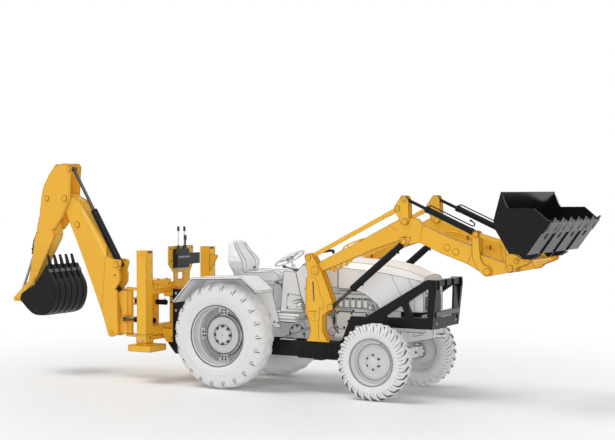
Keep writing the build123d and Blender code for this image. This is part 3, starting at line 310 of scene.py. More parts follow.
def crease_tree():
    # Draws a thin square wire along every edge where two faces meet at more than the given angle.
    tree = bpy.data.node_groups.new("crease_lines", "GeometryNodeTree")
    tree.interface.new_socket("Geometry", in_out="INPUT", socket_type="NodeSocketGeometry")
    crease = tree.interface.new_socket("Crease", in_out="INPUT", socket_type="NodeSocketFloat")
    radius = tree.interface.new_socket("Radius", in_out="INPUT", socket_type="NodeSocketFloat")
    paint = tree.interface.new_socket("Paint", in_out="INPUT", socket_type="NodeSocketMaterial")
    tree.interface.new_socket("Geometry", in_out="OUTPUT", socket_type="NodeSocketGeometry")
    given, result = tree.nodes.new("NodeGroupInput"), tree.nodes.new("NodeGroupOutput")
    angle = tree.nodes.new("GeometryNodeInputMeshEdgeAngle")
    sharp = tree.nodes.new("FunctionNodeCompare")
    sharp.operation = "GREATER_THAN"
    tree.links.new(angle.outputs["Unsigned Angle"], sharp.inputs[0])
    tree.links.new(given.outputs["Crease"], sharp.inputs[1])
    edges = tree.nodes.new("GeometryNodeMeshToCurve")
    tree.links.new(given.outputs["Geometry"], edges.inputs["Mesh"])
    tree.links.new(sharp.outputs[0], edges.inputs["Selection"])
    wire = tree.nodes.new("GeometryNodeCurvePrimitiveCircle")
    wire.inputs["Resolution"].default_value = 4
    tree.links.new(given.outputs["Radius"], wire.inputs["Radius"])
    solid = tree.nodes.new("GeometryNodeCurveToMesh")
    tree.links.new(edges.outputs["Curve"], solid.inputs["Curve"])
    tree.links.new(wire.outputs["Curve"], solid.inputs["Profile Curve"])
    real = tree.nodes.new("GeometryNodeRealizeInstances")
    tree.links.new(solid.outputs["Mesh"], real.inputs["Geometry"])
    coat = tree.nodes.new("GeometryNodeSetMaterial")
    tree.links.new(real.outputs["Geometry"], coat.inputs["Geometry"])
    tree.links.new(given.outputs["Paint"], coat.inputs["Material"])
    tree.links.new(coat.outputs["Geometry"], result.inputs["Geometry"])
    return tree, crease.identifier, radius.identifier, paint.identifier


creases, crease_socket, radius_socket, paint_socket = crease_tree()
# The machine's whole box, which no drawn line may leave.
SPOTS = [vertex.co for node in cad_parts.values() for vertex in node.data.vertices]
WHOLE = [(min(spot[axis] for spot in SPOTS), max(spot[axis] for spot in SPOTS)) for axis in range(3)]


def ink(name, body, nodes=(), pieces=(), crease=LINE_CREASE, radius=LINE_RADIUS, look=None):
    # Dark lines along the creases of whole pieces, each welded to one skin first.
    joined = bmesh.new()
    for shape in [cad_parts[node].data for node in nodes] + [piece.data for piece in pieces]:
        joined.from_mesh(shape)
    bmesh.ops.remove_doubles(joined, verts=joined.verts, dist=2e-5)
    bmesh.ops.dissolve_limit(joined, angle_limit=radians(1), verts=joined.verts, edges=joined.edges)
    base = bpy.data.meshes.new(name + "_base")
    joined.to_mesh(base)
    joined.free()
    carrier = bpy.data.objects.new(name + "_base", base)
    bpy.context.scene.collection.objects.link(carrier)
    lines = carrier.modifiers.new("creases", "NODES")
    lines.node_group = creases
    lines[crease_socket], lines[radius_socket] = radians(crease), radius
    lines[paint_socket] = look or line_dark
    drawn = bpy.data.meshes.new_from_object(carrier.evaluated_get(bpy.context.evaluated_depsgraph_get()))
    bpy.data.objects.remove(carrier)
    for vertex in drawn.vertices:
        vertex.co = [min(max(value, low), high) for value, (low, high) in zip(vertex.co, WHOLE)]
    piece = bpy.data.objects.new(name, drawn)
    bpy.context.scene.collection.objects.link(piece)
    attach(piece, body)
    return piece


clay = finish("pale_coat", (0.80, 0.80, 0.795), 0.62, mottle=0.012)
line_dark = finish("line_dark", (0.055, 0.055, 0.055), 0.6)
dress(clay, "gearbox")
cast = Shape()
for x in (-0.2, 0.26, 1.15):
    cast.panel([(-0.24, 0.46), (0.24, 0.46), (0.24, 0.94), (-0.24, 0.94)], x - 0.012, x + 0.012, clay)
for x, z in ((0.33, 0.86), (0.33, 0.68), (0.33, 0.52), (0.62, 0.52), (0.62, 0.86), (1.06, 0.84),
             (1.06, 0.55)):
    cast.bolt((x, -0.18, z), (0, -1, 0), 0.03, line_dark)
cast.turned((0.8, -0.18, 0.70), (0.8, -1, 0.70), [(-0.005, 0.12), (0.014, 0.12), (0.02, 0.113)], clay,
            40)
for k in range(8):
    cast.bolt((0.8 + 0.1 * cos(k * pi / 4), -0.2, 0.70 + 0.1 * sin(k * pi / 4)), (0, -1, 0), 0.02,
              line_dark)
for side in (-1, 1):
    cast.turned((0, side * 0.33, 0.69), (0, side, 0.69), [(0, 0.165), (0.022, 0.165), (0.03, 0.14)],
                clay, 40)
    for k in range(10):
        turn = k * pi / 5
        cast.bolt((0.145 * cos(turn), side * 0.355, 0.69 + 0.145 * sin(turn)), (0, side, 0), 0.026,
                  line_dark)
cast.turned((-0.25, 0, 0.66), (-1, 0, 0.66), [(0, 0.09), (0.03, 0.09), (0.034, 0.03), (0.12, 0.028)],
            clay, 28)
gearbox_trim = cast.done("gearbox_trim", "chassis", "casting")
ink("gearbox_lines", "chassis", ["gearbox"], [gearbox_trim])

# Engine
# A four-cylinder diesel in one upright block, bolted to the gearbox, seen below the open side of the
# hood. Ports, covers, starter and pumps are castings screwed to its sides, with pipes clamped between
# them.
dress(clay, "engine_block")
motor = Shape()
for k in range(5):
    x = 1.45 + 0.086 * k
    motor.block((x + 0.006, -0.287, 1.084), (x + 0.064, -0.279, 1.178), clay)
    motor.bolt((x + 0.035, -0.28, 1.187), (0, -1, 0), 0.014, line_dark)
motor.plate([(1.40, 0.80), (1.84, 0.80), (1.85, 0.83), (1.85, 0.99), (1.82, 1.015), (1.42, 1.015),
             (1.40, 0.99)], -0.252, -0.243, clay)
for x, z in ((1.42, 0.82), (1.62, 0.82), (1.83, 0.82), (1.42, 1.0), (1.62, 1.0), (1.83, 0.99)):
    motor.bolt((x, -0.252, z), (0, -1, 0), 0.018, line_dark)
motor.plate([(1.42, 1.03), (1.47, 1.045), (1.62, 1.045), (1.64, 1.03)], -0.25, -0.235, clay)
for k in range(4):
    motor.bolt((1.49 + 0.05 * k, -0.236, 1.036), (0, -1, 0), 0.016, line_dark)
motor.plate([(1.352, 0.86), (1.372, 0.85), (1.38, 0.9), (1.372, 0.955), (1.352, 0.945)], -0.246, -0.234,
            line_dark)
motor.turned((1.36, -0.235, 0.765), (1.36, -1, 0.765),
             [(0, 0.052), (0.058, 0.052), (0.066, 0.044), (0.066, 0.02), (0.08, 0.018)], clay, 28)
motor.turned((1.40, -0.285, 0.70), (2, -0.285, 0.70),
             [(0, 0.03), (0.02, 0.046), (0.03, 0.05), (0.23, 0.05), (0.24, 0.04), (0.25, 0.02)], clay,
             28)
motor.rod((1.44, -0.262, 0.765), (1.56, -0.262, 0.765), 0.026, clay)
motor.tube([(1.9, -0.255, 1.15), (1.93, -0.25, 1.16), (1.95, -0.24, 1.09), (1.97, -0.2, 1.02)], 0.024,
           clay, 0.03)
motor.turned((1.90, -0.276, 1.09), (1.90, -1, 1.09),
             [(0, 0.036), (0.01, 0.036), (0.012, 0.022), (0.018, 0.02)], clay, 24)
for x, z in ((1.875, 1.066), (1.925, 1.066), (1.875, 1.115), (1.925, 1.115)):
    motor.bolt((x, -0.276, z), (0, -1, 0), 0.013, line_dark)
for k in range(4):
    x = 1.47 + 0.11 * k
    motor.tube([(x, 0.236, 1.215), (x, 0.27, 1.235), (x + 0.02, 0.275, 1.16),
                (1.52 + 0.03 * k, 0.28, 1.13)], 0.005, line_dark, 0.02, 8)
motor.turned((1.70, 0.29, 0.89), (1.70, 0.29, 2),
             [(0, 0.047), (0.14, 0.047), (0.15, 0.038), (0.165, 0.03)], clay, 28)
motor.turned((1.925, 0, 1.06), (3, 0, 1.06),
             [(0, 0.07), (0.012, 0.07), (0.018, 0.058), (0.026, 0.07), (0.038, 0.07)], clay, 32)
motor.turned((1.925, 0.12, 1.19), (3, 0.12, 1.19),
             [(0, 0.035), (0.012, 0.035), (0.018, 0.027), (0.026, 0.035), (0.038, 0.035)], clay, 28)
for x in (1.5, 1.6, 1.7, 1.8):
    motor.bolt((x, -0.1, 1.275), (0, 0, 1), 0.022, line_dark)
    motor.bolt((x, 0.1, 1.275), (0, 0, 1), 0.022, line_dark)
motor.tube([(1.47, -0.30, 0.735), (1.40, -0.31, 0.82), (1.38, -0.27, 0.98), (1.38, -0.24, 1.06)], 0.006,
           line_dark, 0.06, 8)
motor.tube([(1.345, -0.26, 0.93), (1.36, -0.29, 1.04), (1.43, -0.29, 1.07), (1.44, -0.27, 1.1)], 0.011,
           clay, 0.05)
engine_trim = motor.done("engine_trim", "chassis", "casting")
ink("engine_lines", "chassis", ["engine_block"], [engine_trim], radius=0.0022)

# Radiator
# A finned core between two soldered tanks, standing on the front casting with a plastic fan behind it.
dress(clay, "radiator")
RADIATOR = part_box("radiator")[0].x - AXLE_X
core = Shape()
for k in range(34):
    z = 0.90 + 0.0132 * k
    core.block((RADIATOR + 0.104, -0.205, z), (RADIATOR + 0.122, 0.205, z + 0.004), clay)
core.turned((RADIATOR + 0.16, 0.12, 1.385), (RADIATOR + 0.16, 0.12, 2),
            [(0, 0.03), (0.02, 0.03), (0.022, 0.036), (0.034, 0.034)], clay, 20)
core.tube([(RADIATOR + 0.12, -0.12, 1.38), (RADIATOR + 0.05, -0.12, 1.36),
           (RADIATOR - 0.02, -0.11, 1.27)], 0.024, line_dark, 0.06)
core.done("radiator_trim", "chassis", "casting")
ink("radiator_lines", "chassis", ["radiator"])

# Front casting
# The cast nose below the radiator: it carries the axle's pin, the guard's feet and the tow pin.
dress(clay, "front_support")
nose = Shape()
for side in (-1, 1):
    nose.plate([(2.06, 0.735), (2.26, 0.735), (2.26, 0.835), (2.06, 0.835)], side * 0.15, side * 0.162,
               clay)
    nose.bolt((2.20, side * 0.162, 0.785), (0, side, 0), 0.022, line_dark)
    nose.bolt((2.10, side * 0.162, 0.785), (0, side, 0), 0.022, line_dark)
    nose.plate([(2.44, 0.745), (2.56, 0.77), (2.56, 0.83), (2.44, 0.83)], side * 0.15, side * 0.16,
               clay)
    nose.bolt((2.52, side * 0.16, 0.80), (0, side, 0), 0.022, line_dark)
    nose.bolt((2.36, side * 0.15, 0.80), (0, side, 0), 0.022, line_dark)
    for z in (0.9, 0.98):
        nose.bolt((2.6, side * 0.19, z), (0, side, 0), 0.02, line_dark)
nose.turned((2.75, 0, 0.775), (2.75, 0, 2), [(0, 0.021), (0.004, 0.021), (0.004, 0.0145), (0.0, 0.0145)],
            clay, 24, closed=True)
nose_trim = nose.done("nose_trim", "chassis", "casting")
ink("nose_lines", "chassis", ["front_support"], [nose_trim])

# Front axle and hubs
# A box beam rocks on one pin below the nose, with a forged knuckle and round hub case turning at each
# end.
dress(clay, "front_axle", "knuckle_right", "knuckle_left")
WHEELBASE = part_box("tyre_front_right")[0].x / 2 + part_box("tyre_front_right")[1].x / 2 - AXLE_X
beam = Shape()
beam.turned((WHEELBASE - 0.075, 0, 0.62), (WHEELBASE + 1, 0, 0.62),
            [(0, 0.05), (0.15, 0.05), (0.152, 0.03), (0.165, 0.03)], clay, 28)
for side in (-1, 1):
    beam.panel([(side * 0.11, 0.54), (side * 0.11, 0.64), (side * 0.3, 0.54)], WHEELBASE - 0.008,
               WHEELBASE + 0.008, clay)
    for y in (0.2, 0.42):
        beam.bolt((WHEELBASE + 0.045, side * y, 0.47), (1, 0, 0), 0.024, line_dark)
        beam.bolt((WHEELBASE - 0.045, side * y, 0.47), (-1, 0, 0), 0.024, line_dark)
axle_trim = beam.done("axle_trim", "chassis", "casting")
ink("axle_lines", "chassis", ["front_axle"], [axle_trim])
for word, side in (("right", -1), ("left", 1)):
    hub = Shape()
    hub.turned((WHEELBASE, side * 0.555, 0.566), (WHEELBASE, side * 0.555, 2),
               [(-0.001, 0.03), (0.006, 0.03), (0.009, 0.022)], clay, 28)
    hub.turned((WHEELBASE, side * 0.602, 0.47), (WHEELBASE, side * 2, 0.47),
               [(-0.006, 0.06), (-0.006, 0.088), (0.0, 0.098), (0.016, 0.098), (0.02, 0.09)], clay, 36)
    for k in range(8):
        turn = k * pi / 4 + 0.4
        hub.bolt((WHEELBASE + 0.08 * cos(turn), side * 0.602, 0.47 + 0.08 * sin(turn)), (0, -side, 0),
                 0.015, line_dark)
    hub_trim = hub.done("hub_trim_" + word, "knuckle_" + word, "casting")
    ink("hub_lines_" + word, "knuckle_" + word, ["knuckle_" + word], [hub_trim])

# Rear wheels
# Steel rims with a dished disc on four welded lugs, and tall farm tyres moulded with cross bars.
# The disc is bolted to the axle's flange by eight bolts, and the rim to the disc at its four lugs.
REAR_HUB = rear_low.z / 2 + rear_high.z / 2
REAR_Y = -(rear_low.y + rear_high.y) / 2
REAR_LUGS, FRONT_LUGS = 22, 28


def tyre(name, body, node, centre, side, lugs, wall, bars, edge_look, steps=10, ramp=0.035, slant=0.0):
    # One skin from bead to bead. wall holds (radius, offset), and bars holds
    # (groove radius, bar radius, groove offset, bar offset, share of the slant), both up to the middle.
    x, y, z = centre
    shape = bmesh.new()
    pitch = 2 * pi / lugs
    rings, sheer = [], []
    half = steps // 2
    cuts = [0, ramp] + [ramp + (0.5 - 2 * ramp) * k / half for k in range(1, half)]
    cuts += [0.5 - ramp, 0.5] + [0.5 + 0.5 * k / half for k in range(1, half)]
    for lug in range(lugs):
        for cut in cuts:
            ring = []
            for way in (-1, 1):
                share = cut if way > 0 else (cut + 0.5) % 1
                high = 1.0 if ramp - 1e-6 <= share <= 0.5 - ramp + 1e-6 else 0.0
                rows = [(r, o, 0.0) for r, o in wall]
                rows += [(low + (top - low) * high, inset + (out - inset) * high, turn)
                         for low, top, inset, out, turn in bars]
                rows = rows if way < 0 else rows[::-1]
                for r, o, turn in rows:
                    angle = pitch * (lug + cut + 0.5) - pi / 2 + turn * slant * pitch
                    ring.append(at(x + r * cos(angle), y + side * way * o, z + r * sin(angle)))
            rings.append([shape.verts.new(p) for p in ring])
            sheer.append(cut in (0, 0.5 - ramp))
    count = len(rings[0])
    for a, b, steep in zip(rings, rings[1:] + rings[:1], sheer):
        for i in range(count):
            j = (i + 1) % count
            face = shape.faces.new((a[i], a[j], b[j], b[i]))
            face.smooth = True
            face.material_index = int(steep and min(i, count - 1 - i) >= len(wall))
    bmesh.ops.recalc_face_normals(shape, faces=shape.faces)
    made = bpy.data.meshes.new(name)
    shape.to_mesh(made)
    shape.free()
    made.materials.append(tyre_pale)
    made.materials.append(edge_look)
    made.set_sharp_from_angle(angle=radians(38))
    piece = bpy.data.objects.new(name, made)
    bpy.context.scene.collection.objects.link(piece)
    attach(piece, body)
    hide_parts(node)
    return piece


def line_ring(shape, centre, side, radius, offset, thick=0.0026):
    # A thin dark line round a wheel.
    x, y, z = centre
    shape.ring((x, z), y + side * offset, side, radius - thick, radius + thick, thick, line_dark, 96,
               thick)


# A mid grey used as painted shade on the rear wheels: at the tyre bars' ends and across the rim's disc.
shade_grey = finish("shade_grey", (0.36, 0.36, 0.36), 0.7)
tyre_pale = finish("tyre_pale", (0.75, 0.75, 0.75), 0.75, mottle=0.01)
rim_pale = finish("rim_pale", (0.66, 0.66, 0.66), 0.45, mottle=0.01)
REAR_WALL = [(0.3865, 0.150), (0.392, 0.164), (0.4035, 0.176), (0.440, 0.1865), (0.478, 0.192),
             (0.494, 0.1925), (0.498, 0.194), (0.502, 0.194), (0.506, 0.1925), (0.545, 0.1925),
             (0.580, 0.190)]
REAR_BARS = [(0.606, 0.607, 0.184, 0.186, 0.0), (0.634, 0.637, 0.165, 0.171, 0.12),
             (0.654, 0.662, 0.138, 0.146, 0.25), (0.669, 0.679, 0.108, 0.114, 0.45),
             (0.6775, 0.688, 0.078, 0.080, 0.6), (0.6775, 0.688, 0.006, 0.006, 1.0)]
for word, side in (("right", -1), ("left", 1)):
    centre = (0, side * REAR_Y, REAR_HUB)
    body = "wheel_rear_" + word
    tyre("tyre_rear_tread_" + word, body, "tyre_rear_" + word, centre, side, REAR_LUGS, REAR_WALL,
         REAR_BARS, tyre_pale, slant=0.5)
    # Each bar's outer end is marked by two strokes of painted shade: a narrow dark one and a wider grey
    #     one beside it.
    marks = Shape()
    for lug in range(REAR_LUGS):
        for shift, wide, look in ((0.0, 0.005, line_dark), (0.052, 0.009, shade_grey)):
            turn = 2 * pi * (lug + 0.5) / REAR_LUGS - pi / 2 + shift
            rows = []
            for r, off in ((0.583, 0.1885), (0.606, 0.1850), (0.635, 0.1690), (0.652, 0.1500)):
                spot = Vector((r * cos(turn), r * sin(turn)))
                over = Vector((-sin(turn), cos(turn))) * wide * (0.4 if r < 0.6 or r > 0.65 else 1.0)
                deep = [(spot - over, off - 0.006), (spot + over, off - 0.006),
                        (spot + over, off + 0.0025), (spot - over, off + 0.0025)]
                rows.append([at(p.x, side * (REAR_Y + o), REAR_HUB + p.y) for p, o in deep])
            marks.skin(rows, look)
    marks.done("tyre_rear_marks_" + word, body, "tyre")
    dress(rim_pale, "rim_rear_" + word)
    steel = Shape()
    y = side * REAR_Y
    for radius, offset in ((0.3985, 0.1745), (0.388, 0.1735), (0.3725, 0.150), (0.3555, 0.02),
                           (0.2515, 0.0135), (0.131, 0.0295)):
        line_ring(steel, centre, side, radius, offset)
    steel.turned((0, y + side * 0.02, REAR_HUB), (0, y + side, REAR_HUB),
                 [(0.0, 0.10), (0.019, 0.10), (0.024, 0.09), (0.024, 0.02), (0.03, 0.014)], rim_pale,
                 48)
    for k in range(8):
        turn = k * pi / 4
        steel.bolt((0.113 * cos(turn), y + side * 0.0295, REAR_HUB + 0.113 * sin(turn)), (0, side, 0),
                   0.030, line_dark, 0.024)
    # A grey dish across the disc and two dark rings inside the rim are painted shade in the rim's
    # hollow.
    steel.turned((0, y - side * 0.035, REAR_HUB), (0, y + side, REAR_HUB),
                 [(0, 0.20), (0.004, 0.20), (0.012, 0.30), (0.004, 0.353), (0, 0.353)],
                 shade_grey, 72, closed=True)
    steel.ring((0, REAR_HUB), y + side * 0.026, side, 0.238, 0.247, 0.0075, line_dark, 72)
    steel.ring((0, REAR_HUB), y - side * 0.018, side, 0.248, 0.275, 0.004, line_dark, 72)
    for k in range(4):
        turn = k * pi / 2
        away, over = Vector((cos(turn), sin(turn))), Vector((-sin(turn), cos(turn)))
        for reach in (0.285, 0.32):
            for shift in (-0.024, 0.024):
                spot = away * reach + over * shift
                steel.bolt((spot.x, y + side * 0.002, REAR_HUB + spot.y), (0, side, 0), 0.02, line_dark)
        for shift in (-0.062, 0.062):
            low, high = away * 0.30 + over * (shift - 0.012), away * 0.352 + over * (shift + 0.012)
            steel.block((min(low.x, high.x), y - side * 0.03, REAR_HUB + min(low.y, high.y)),
                        (max(low.x, high.x), y + side * 0.012, REAR_HUB + max(low.y, high.y)), rim_pale)
    steel.rod((0.36 * cos(0.9), y + side * 0.06, REAR_HUB + 0.36 * sin(0.9)),
              (0.345 * cos(0.9), y + side * 0.115, REAR_HUB + 0.345 * sin(0.9)), 0.006, line_dark, 10)
    steel.turned((0, y + side * 0.05, REAR_HUB), (0, y + side, REAR_HUB),
                 [(-0.001, 0.008), (0.004, 0.006)], line_dark, 12)
    steel.done("rim_rear_trim_" + word, body, "rim")

# Front wheels
# Smaller pressed rims with a deep cone in the middle, six bolts on the hub, and tyres with tall
# paired bars.
FRONT_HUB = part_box("tyre_front_right")[1].z / 2
FRONT_Y = -(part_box("tyre_front_right")[0].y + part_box("tyre_front_right")[1].y) / 2
FRONT_WALL = [(0.283, 0.084), (0.288, 0.095), (0.298, 0.103), (0.322, 0.110), (0.350, 0.1145),
              (0.372, 0.1155)]
FRONT_BARS = [(0.394, 0.396, 0.1125, 0.1155, 0.0), (0.418, 0.424, 0.100, 0.1125, 0.1),
              (0.436, 0.450, 0.087, 0.103, 0.28), (0.4495, 0.4675, 0.074, 0.078, 0.5),
              (0.4495, 0.4680, 0.004, 0.004, 1.2)]
for word, side in (("right", -1), ("left", 1)):
    centre = (WHEELBASE, side * FRONT_Y, FRONT_HUB)
    body = "wheel_front_" + word
    tyre("tyre_front_tread_" + word, body, "tyre_front_" + word, centre, side, FRONT_LUGS, FRONT_WALL,
         FRONT_BARS, line_dark, ramp=0.06, slant=0.62)
    dress(rim_pale, "rim_front_" + word)
    steel = Shape()
    y = side * FRONT_Y
    for radius, offset in ((0.2935, 0.1), (0.2805, 0.0995), (0.2595, 0.013), (0.2215, 0.0135)):
        line_ring(steel, centre, side, radius, offset)
    steel.turned((WHEELBASE, y + side * 0.04, FRONT_HUB), (WHEELBASE, y + side, FRONT_HUB),
                 [(0.0, 0.062), (0.012, 0.060), (0.021, 0.048), (0.027, 0.042), (0.027, 0.03),
                  (0.032, 0.012)], rim_pale, 40)
    for k in range(6):
        turn = k * pi / 3 + pi / 2
        steel.bolt((WHEELBASE + 0.087 * cos(turn), y + side * 0.0385, FRONT_HUB + 0.087 * sin(turn)),
                   (0, side, 0), 0.022, line_dark, 0.018)
    steel.rod((WHEELBASE + 0.262 * cos(1.1), y + side * 0.03, FRONT_HUB + 0.262 * sin(1.1)),
              (WHEELBASE + 0.25 * cos(1.1), y + side * 0.085, FRONT_HUB + 0.25 * sin(1.1)), 0.005,
              line_dark, 10)
    steel.done("rim_front_trim_" + word, body, "rim")

# Dash and scuttle
# Pressed sheet covers over the steering column and the tank, screwed to the gearbox, with a small
# dial panel.
dress(clay, "dash_cowl")
dash = Shape()
for side in (-1, 1):
    edge = side * 0.2915
    for path in ([(0.835, 1.49), (0.903, 1.2), (1.006, 0.99)],
                 [(0.96, 1.30), (1.30, 1.345), (1.33, 1.34)], [(1.10, 1.61), (1.10, 1.36)],
                 [(0.93, 1.605), (1.43, 1.575)]):
        dash.tube([(x, edge, z) for x, z in path], 0.0022, line_dark, 0.02, 6)
    dash.plate([(0.66, 1.02), (0.93, 1.02), (0.91, 1.19), (0.68, 1.22)], side * 0.235, side * 0.2385,
               clay)
    for x, z in ((0.68, 1.04), (0.91, 1.04), (0.895, 1.17), (0.69, 1.2)):
        dash.bolt((x, side * 0.2385, z), (0, side, 0), 0.012, line_dark)
    dash.block((1.16, side * 0.29, 1.06), (1.28, side * 0.296, 1.26), clay)
dash.turned((0.715, 0, 1.514), (0.715 - 0.004, 0, 2.0),
            [(-0.004, 0.064), (0.012, 0.064), (0.014, 0.056), (0.009, 0.052)], line_dark, 36)
for y in (-0.12, 0.12):
    dash.turned((0.74, y, 1.512), (0.737, y, 2.0),
                [(-0.004, 0.034), (0.008, 0.034), (0.009, 0.027), (0.005, 0.026)], line_dark, 28)
for y in (-0.18, -0.06, 0.06, 0.18):
    dash.turned((0.80, y, 1.498), (0.80, y, 2.0), [(-0.004, 0.012), (0.012, 0.01), (0.014, 0.006)],
                line_dark, 12)
dash.tube([(0.83, -0.21, 1.51), (0.76, -0.29, 1.55), (0.71, -0.33, 1.57)], 0.006, clay, 0.03, 8)
dash.turned((0.71, -0.33, 1.57), (0.65, -0.37, 1.585), [(0, 0.011), (0.03, 0.016), (0.045, 0.012)],
            line_dark, 14)
dash.turned((0.9, 0.15, 1.6), (0.9, 0.15, 2), [(0, 0.045), (0.022, 0.045), (0.026, 0.038)], clay, 28)
dash_trim = dash.done("dash_trim", "chassis", "body")
ink("dash_lines", "chassis", ["dash_cowl"], [dash_trim])

# Hood
# One pressed steel shell hinged at the scuttle, creased along its sides, with shut lines, lamps and a
# grille.
# The hood wears a lighter copy of the pale coat, painted light that makes up for the shade of the loader
# arms.
hood_lightened = finish("hood_lightened", (0.88, 0.88, 0.88), 0.42, coat=0.1, mottle=0.01)
dress(hood_lightened, "hood")
HOOD_FRONT = WHEELBASE + 0.47
LAMP_Y, LAMP_Z = 0.19, 1.34
glass_grey = finish("lamp_glass", (0.45, 0.45, 0.46), 0.12, coat=0.6)
shell = Shape()
for side in (-1, 1):
    face = side * 0.3012
    for path in ([(2.199, 1.506), (2.225, 1.44), (2.341, 1.246), (2.36, 1.07)],
                 [(2.422, 1.473), (2.45, 1.42), (2.498, 1.348), (2.515, 1.07)],
                 [(2.50, 1.305), (2.628, 1.292)], [(2.54, 1.44), (2.625, 1.425)]):
        shell.tube([(x, face, z) for x, z in path], 0.002, line_dark, 0.03, 6)
    shell.turned((HOOD_FRONT + 0.0135, side * LAMP_Y, LAMP_Z), (3, side * LAMP_Y, LAMP_Z),
                 [(0, 0.061), (0.004, 0.059), (0.001, 0.052), (-0.004, 0.03)], glass_grey, 36)
    shell.block((2.0, side * 0.2995, 1.075), (2.62, side * 0.3012, 1.0765), line_dark)
shell.panel([(-0.24, 1.085), (0.24, 1.085), (0.24, 1.25), (-0.24, 1.25)], HOOD_FRONT,
            HOOD_FRONT + 0.0015, line_dark)
shell.turned((1.62, 0, 1.688), (1.62, 0, 2), [(0, 0.05), (0.02, 0.05), (0.028, 0.04)], clay, 28)
shell.done("hood_trim", "hood", "body")
ink("hood_lines", "hood", ["hood"], crease=14, radius=0.0026)

# Steering wheel
# A thin rim moulded over a steel hoop, on three flat spokes and a capped hub.
dress(clay, "steering_wheel")
HOOP = Vector((0.575 + AXLE_X, 0, 1.662))
LEAN = Vector((-0.5, 0, 0.8660254))
hoop = Shape()
SIDEWAYS = Vector((0, 1, 0))
FORWARD = SIDEWAYS.cross(LEAN).normalized()
for turn in (0, 2 * pi / 3, 4 * pi / 3):
    away = (FORWARD * cos(turn) + SIDEWAYS * sin(turn))
    over = LEAN.cross(away)
    rings = []
    for reach, wide, lift in ((0.03, 0.026, -0.006), (0.10, 0.018, -0.004), (0.165, 0.016, 0.0),
                              (0.203, 0.024, 0.002)):
        middle = HOOP + away * reach + LEAN * lift
        rings.append([middle - over * wide - LEAN * 0.003, middle + over * wide - LEAN * 0.003,
                      middle + over * wide + LEAN * 0.003, middle - over * wide + LEAN * 0.003])
    hoop.skin(rings, clay)
centre = HOOP - Vector((AXLE_X, 0, 0))
top = centre + LEAN
hoop.turned(tuple(centre), tuple(top), [(0.006, 0.047), (0.014, 0.044), (0.018, 0.03), (0.019, 0.012)],
            clay, 32)
hoop.turned(tuple(centre - LEAN * 0.02), tuple(top),
            [(0.0, 0.049), (0.004, 0.049), (0.004, 0.046), (0.0, 0.046)], line_dark, 40, closed=True)
hoop_trim = hoop.done("steering_trim", "steering_wheel", "wheel_plastic")
ink("steering_lines", "steering_wheel", [], [hoop_trim], radius=0.0022)

# Seat
# A sprung seat: a steel box and slides on the axle casting, and two foam pads with piped vinyl covers.
dress(clay, "seat_base")
box = Shape()
for side in (-1, 1):
    box.plate([(0.02, 1.02), (0.36, 1.02), (0.33, 1.30), (0.05, 1.30)], side * 0.15, side * 0.156, clay)
    box.plate([(-0.05, 1.376), (0.46, 1.376), (0.46, 1.392), (-0.05, 1.392)], side * 0.19, side * 0.212,
              line_dark)
    for x, z in ((0.06, 1.06), (0.32, 1.06), (0.3, 1.26), (0.08, 1.26)):
        box.bolt((x, side * 0.156, z), (0, side, 0), 0.018, line_dark)
box.tube([(0.43, -0.18, 1.36), (0.50, -0.19, 1.355), (0.53, -0.2, 1.345)], 0.007, line_dark, 0.02, 8)
box.turned((-0.012, 0.07, 1.525), (0.5, 0.07, 1.55), [(-0.012, 0.014), (0.012, 0.014), (0.018, 0.008)],
           line_dark, 20)
box_trim = box.done("seat_trim", "chassis", "casting")
ink("seat_box_lines", "chassis", ["seat_base"], [box_trim])


def cushion(name, node, body, seam_y, voxel=0.006, pressure=4.0, puff=0.022):
    # The pad's solid is remeshed finely, then blown up a little as cloth,
    # so that its faces swell between the seams.
    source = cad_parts[node].data.copy()
    pad = bpy.data.objects.new(name, source)
    bpy.context.scene.collection.objects.link(pad)
    bpy.context.view_layer.objects.active = pad
    fine = pad.modifiers.new("remesh", "REMESH")
    fine.mode, fine.voxel_size = "VOXEL", voxel
    solid = bpy.data.meshes.new_from_object(pad.evaluated_get(bpy.context.evaluated_depsgraph_get()))
    pad.modifiers.clear()
    pad.data = solid
    rest = [v.co.copy() for v in solid.vertices]
    low = Vector((min(v[i] for v in rest) for i in range(3)))
    high = Vector((max(v[i] for v in rest) for i in range(3)))
    held = pad.vertex_groups.new(name="held")
    for index, spot in enumerate(rest):
        near = min(abs(spot.y - y) for y in seam_y + (low.y + 0.004, high.y - 0.004))
        flat = solid.vertices[index].normal
        share = 1.0 if near < 0.006 or flat.z < -0.85 else 0.0
        held.add([index], share, "REPLACE")
    cloth = pad.modifiers.new("foam", "CLOTH")
    cloth.settings.quality = 5
    cloth.settings.tension_stiffness = cloth.settings.compression_stiffness = 25
    cloth.settings.bending_stiffness = 1.5
    cloth.settings.effector_weights.gravity = 0
    cloth.settings.use_pressure = True
    cloth.settings.uniform_pressure_force = pressure
    cloth.settings.vertex_group_mass = "held"
    cloth.collision_settings.use_collision = False
    cloth.point_cache.frame_start, cloth.point_cache.frame_end = 1, 20
    for tick in range(1, 21):
        bpy.context.scene.frame_set(tick)
    settled = pad.evaluated_get(bpy.context.evaluated_depsgraph_get())
    puffed = bpy.data.meshes.new_from_object(settled)
    pad.modifiers.clear()
    for vertex, start in zip(puffed.vertices, rest):
        move = vertex.co - start
        if move.length > puff:
            vertex.co = start + move.normalized() * puff
    pad.data = puffed
    bpy.context.scene.frame_set(1)
    pad.data.materials.clear()
    pad.data.materials.append(vinyl)
    for face in pad.data.polygons:
        face.use_smooth = True
    soft = pad.modifiers.new("smooth", "SUBSURF")
    soft.levels = soft.render_levels = 1
    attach(pad, body)
    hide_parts(node)
    return pad


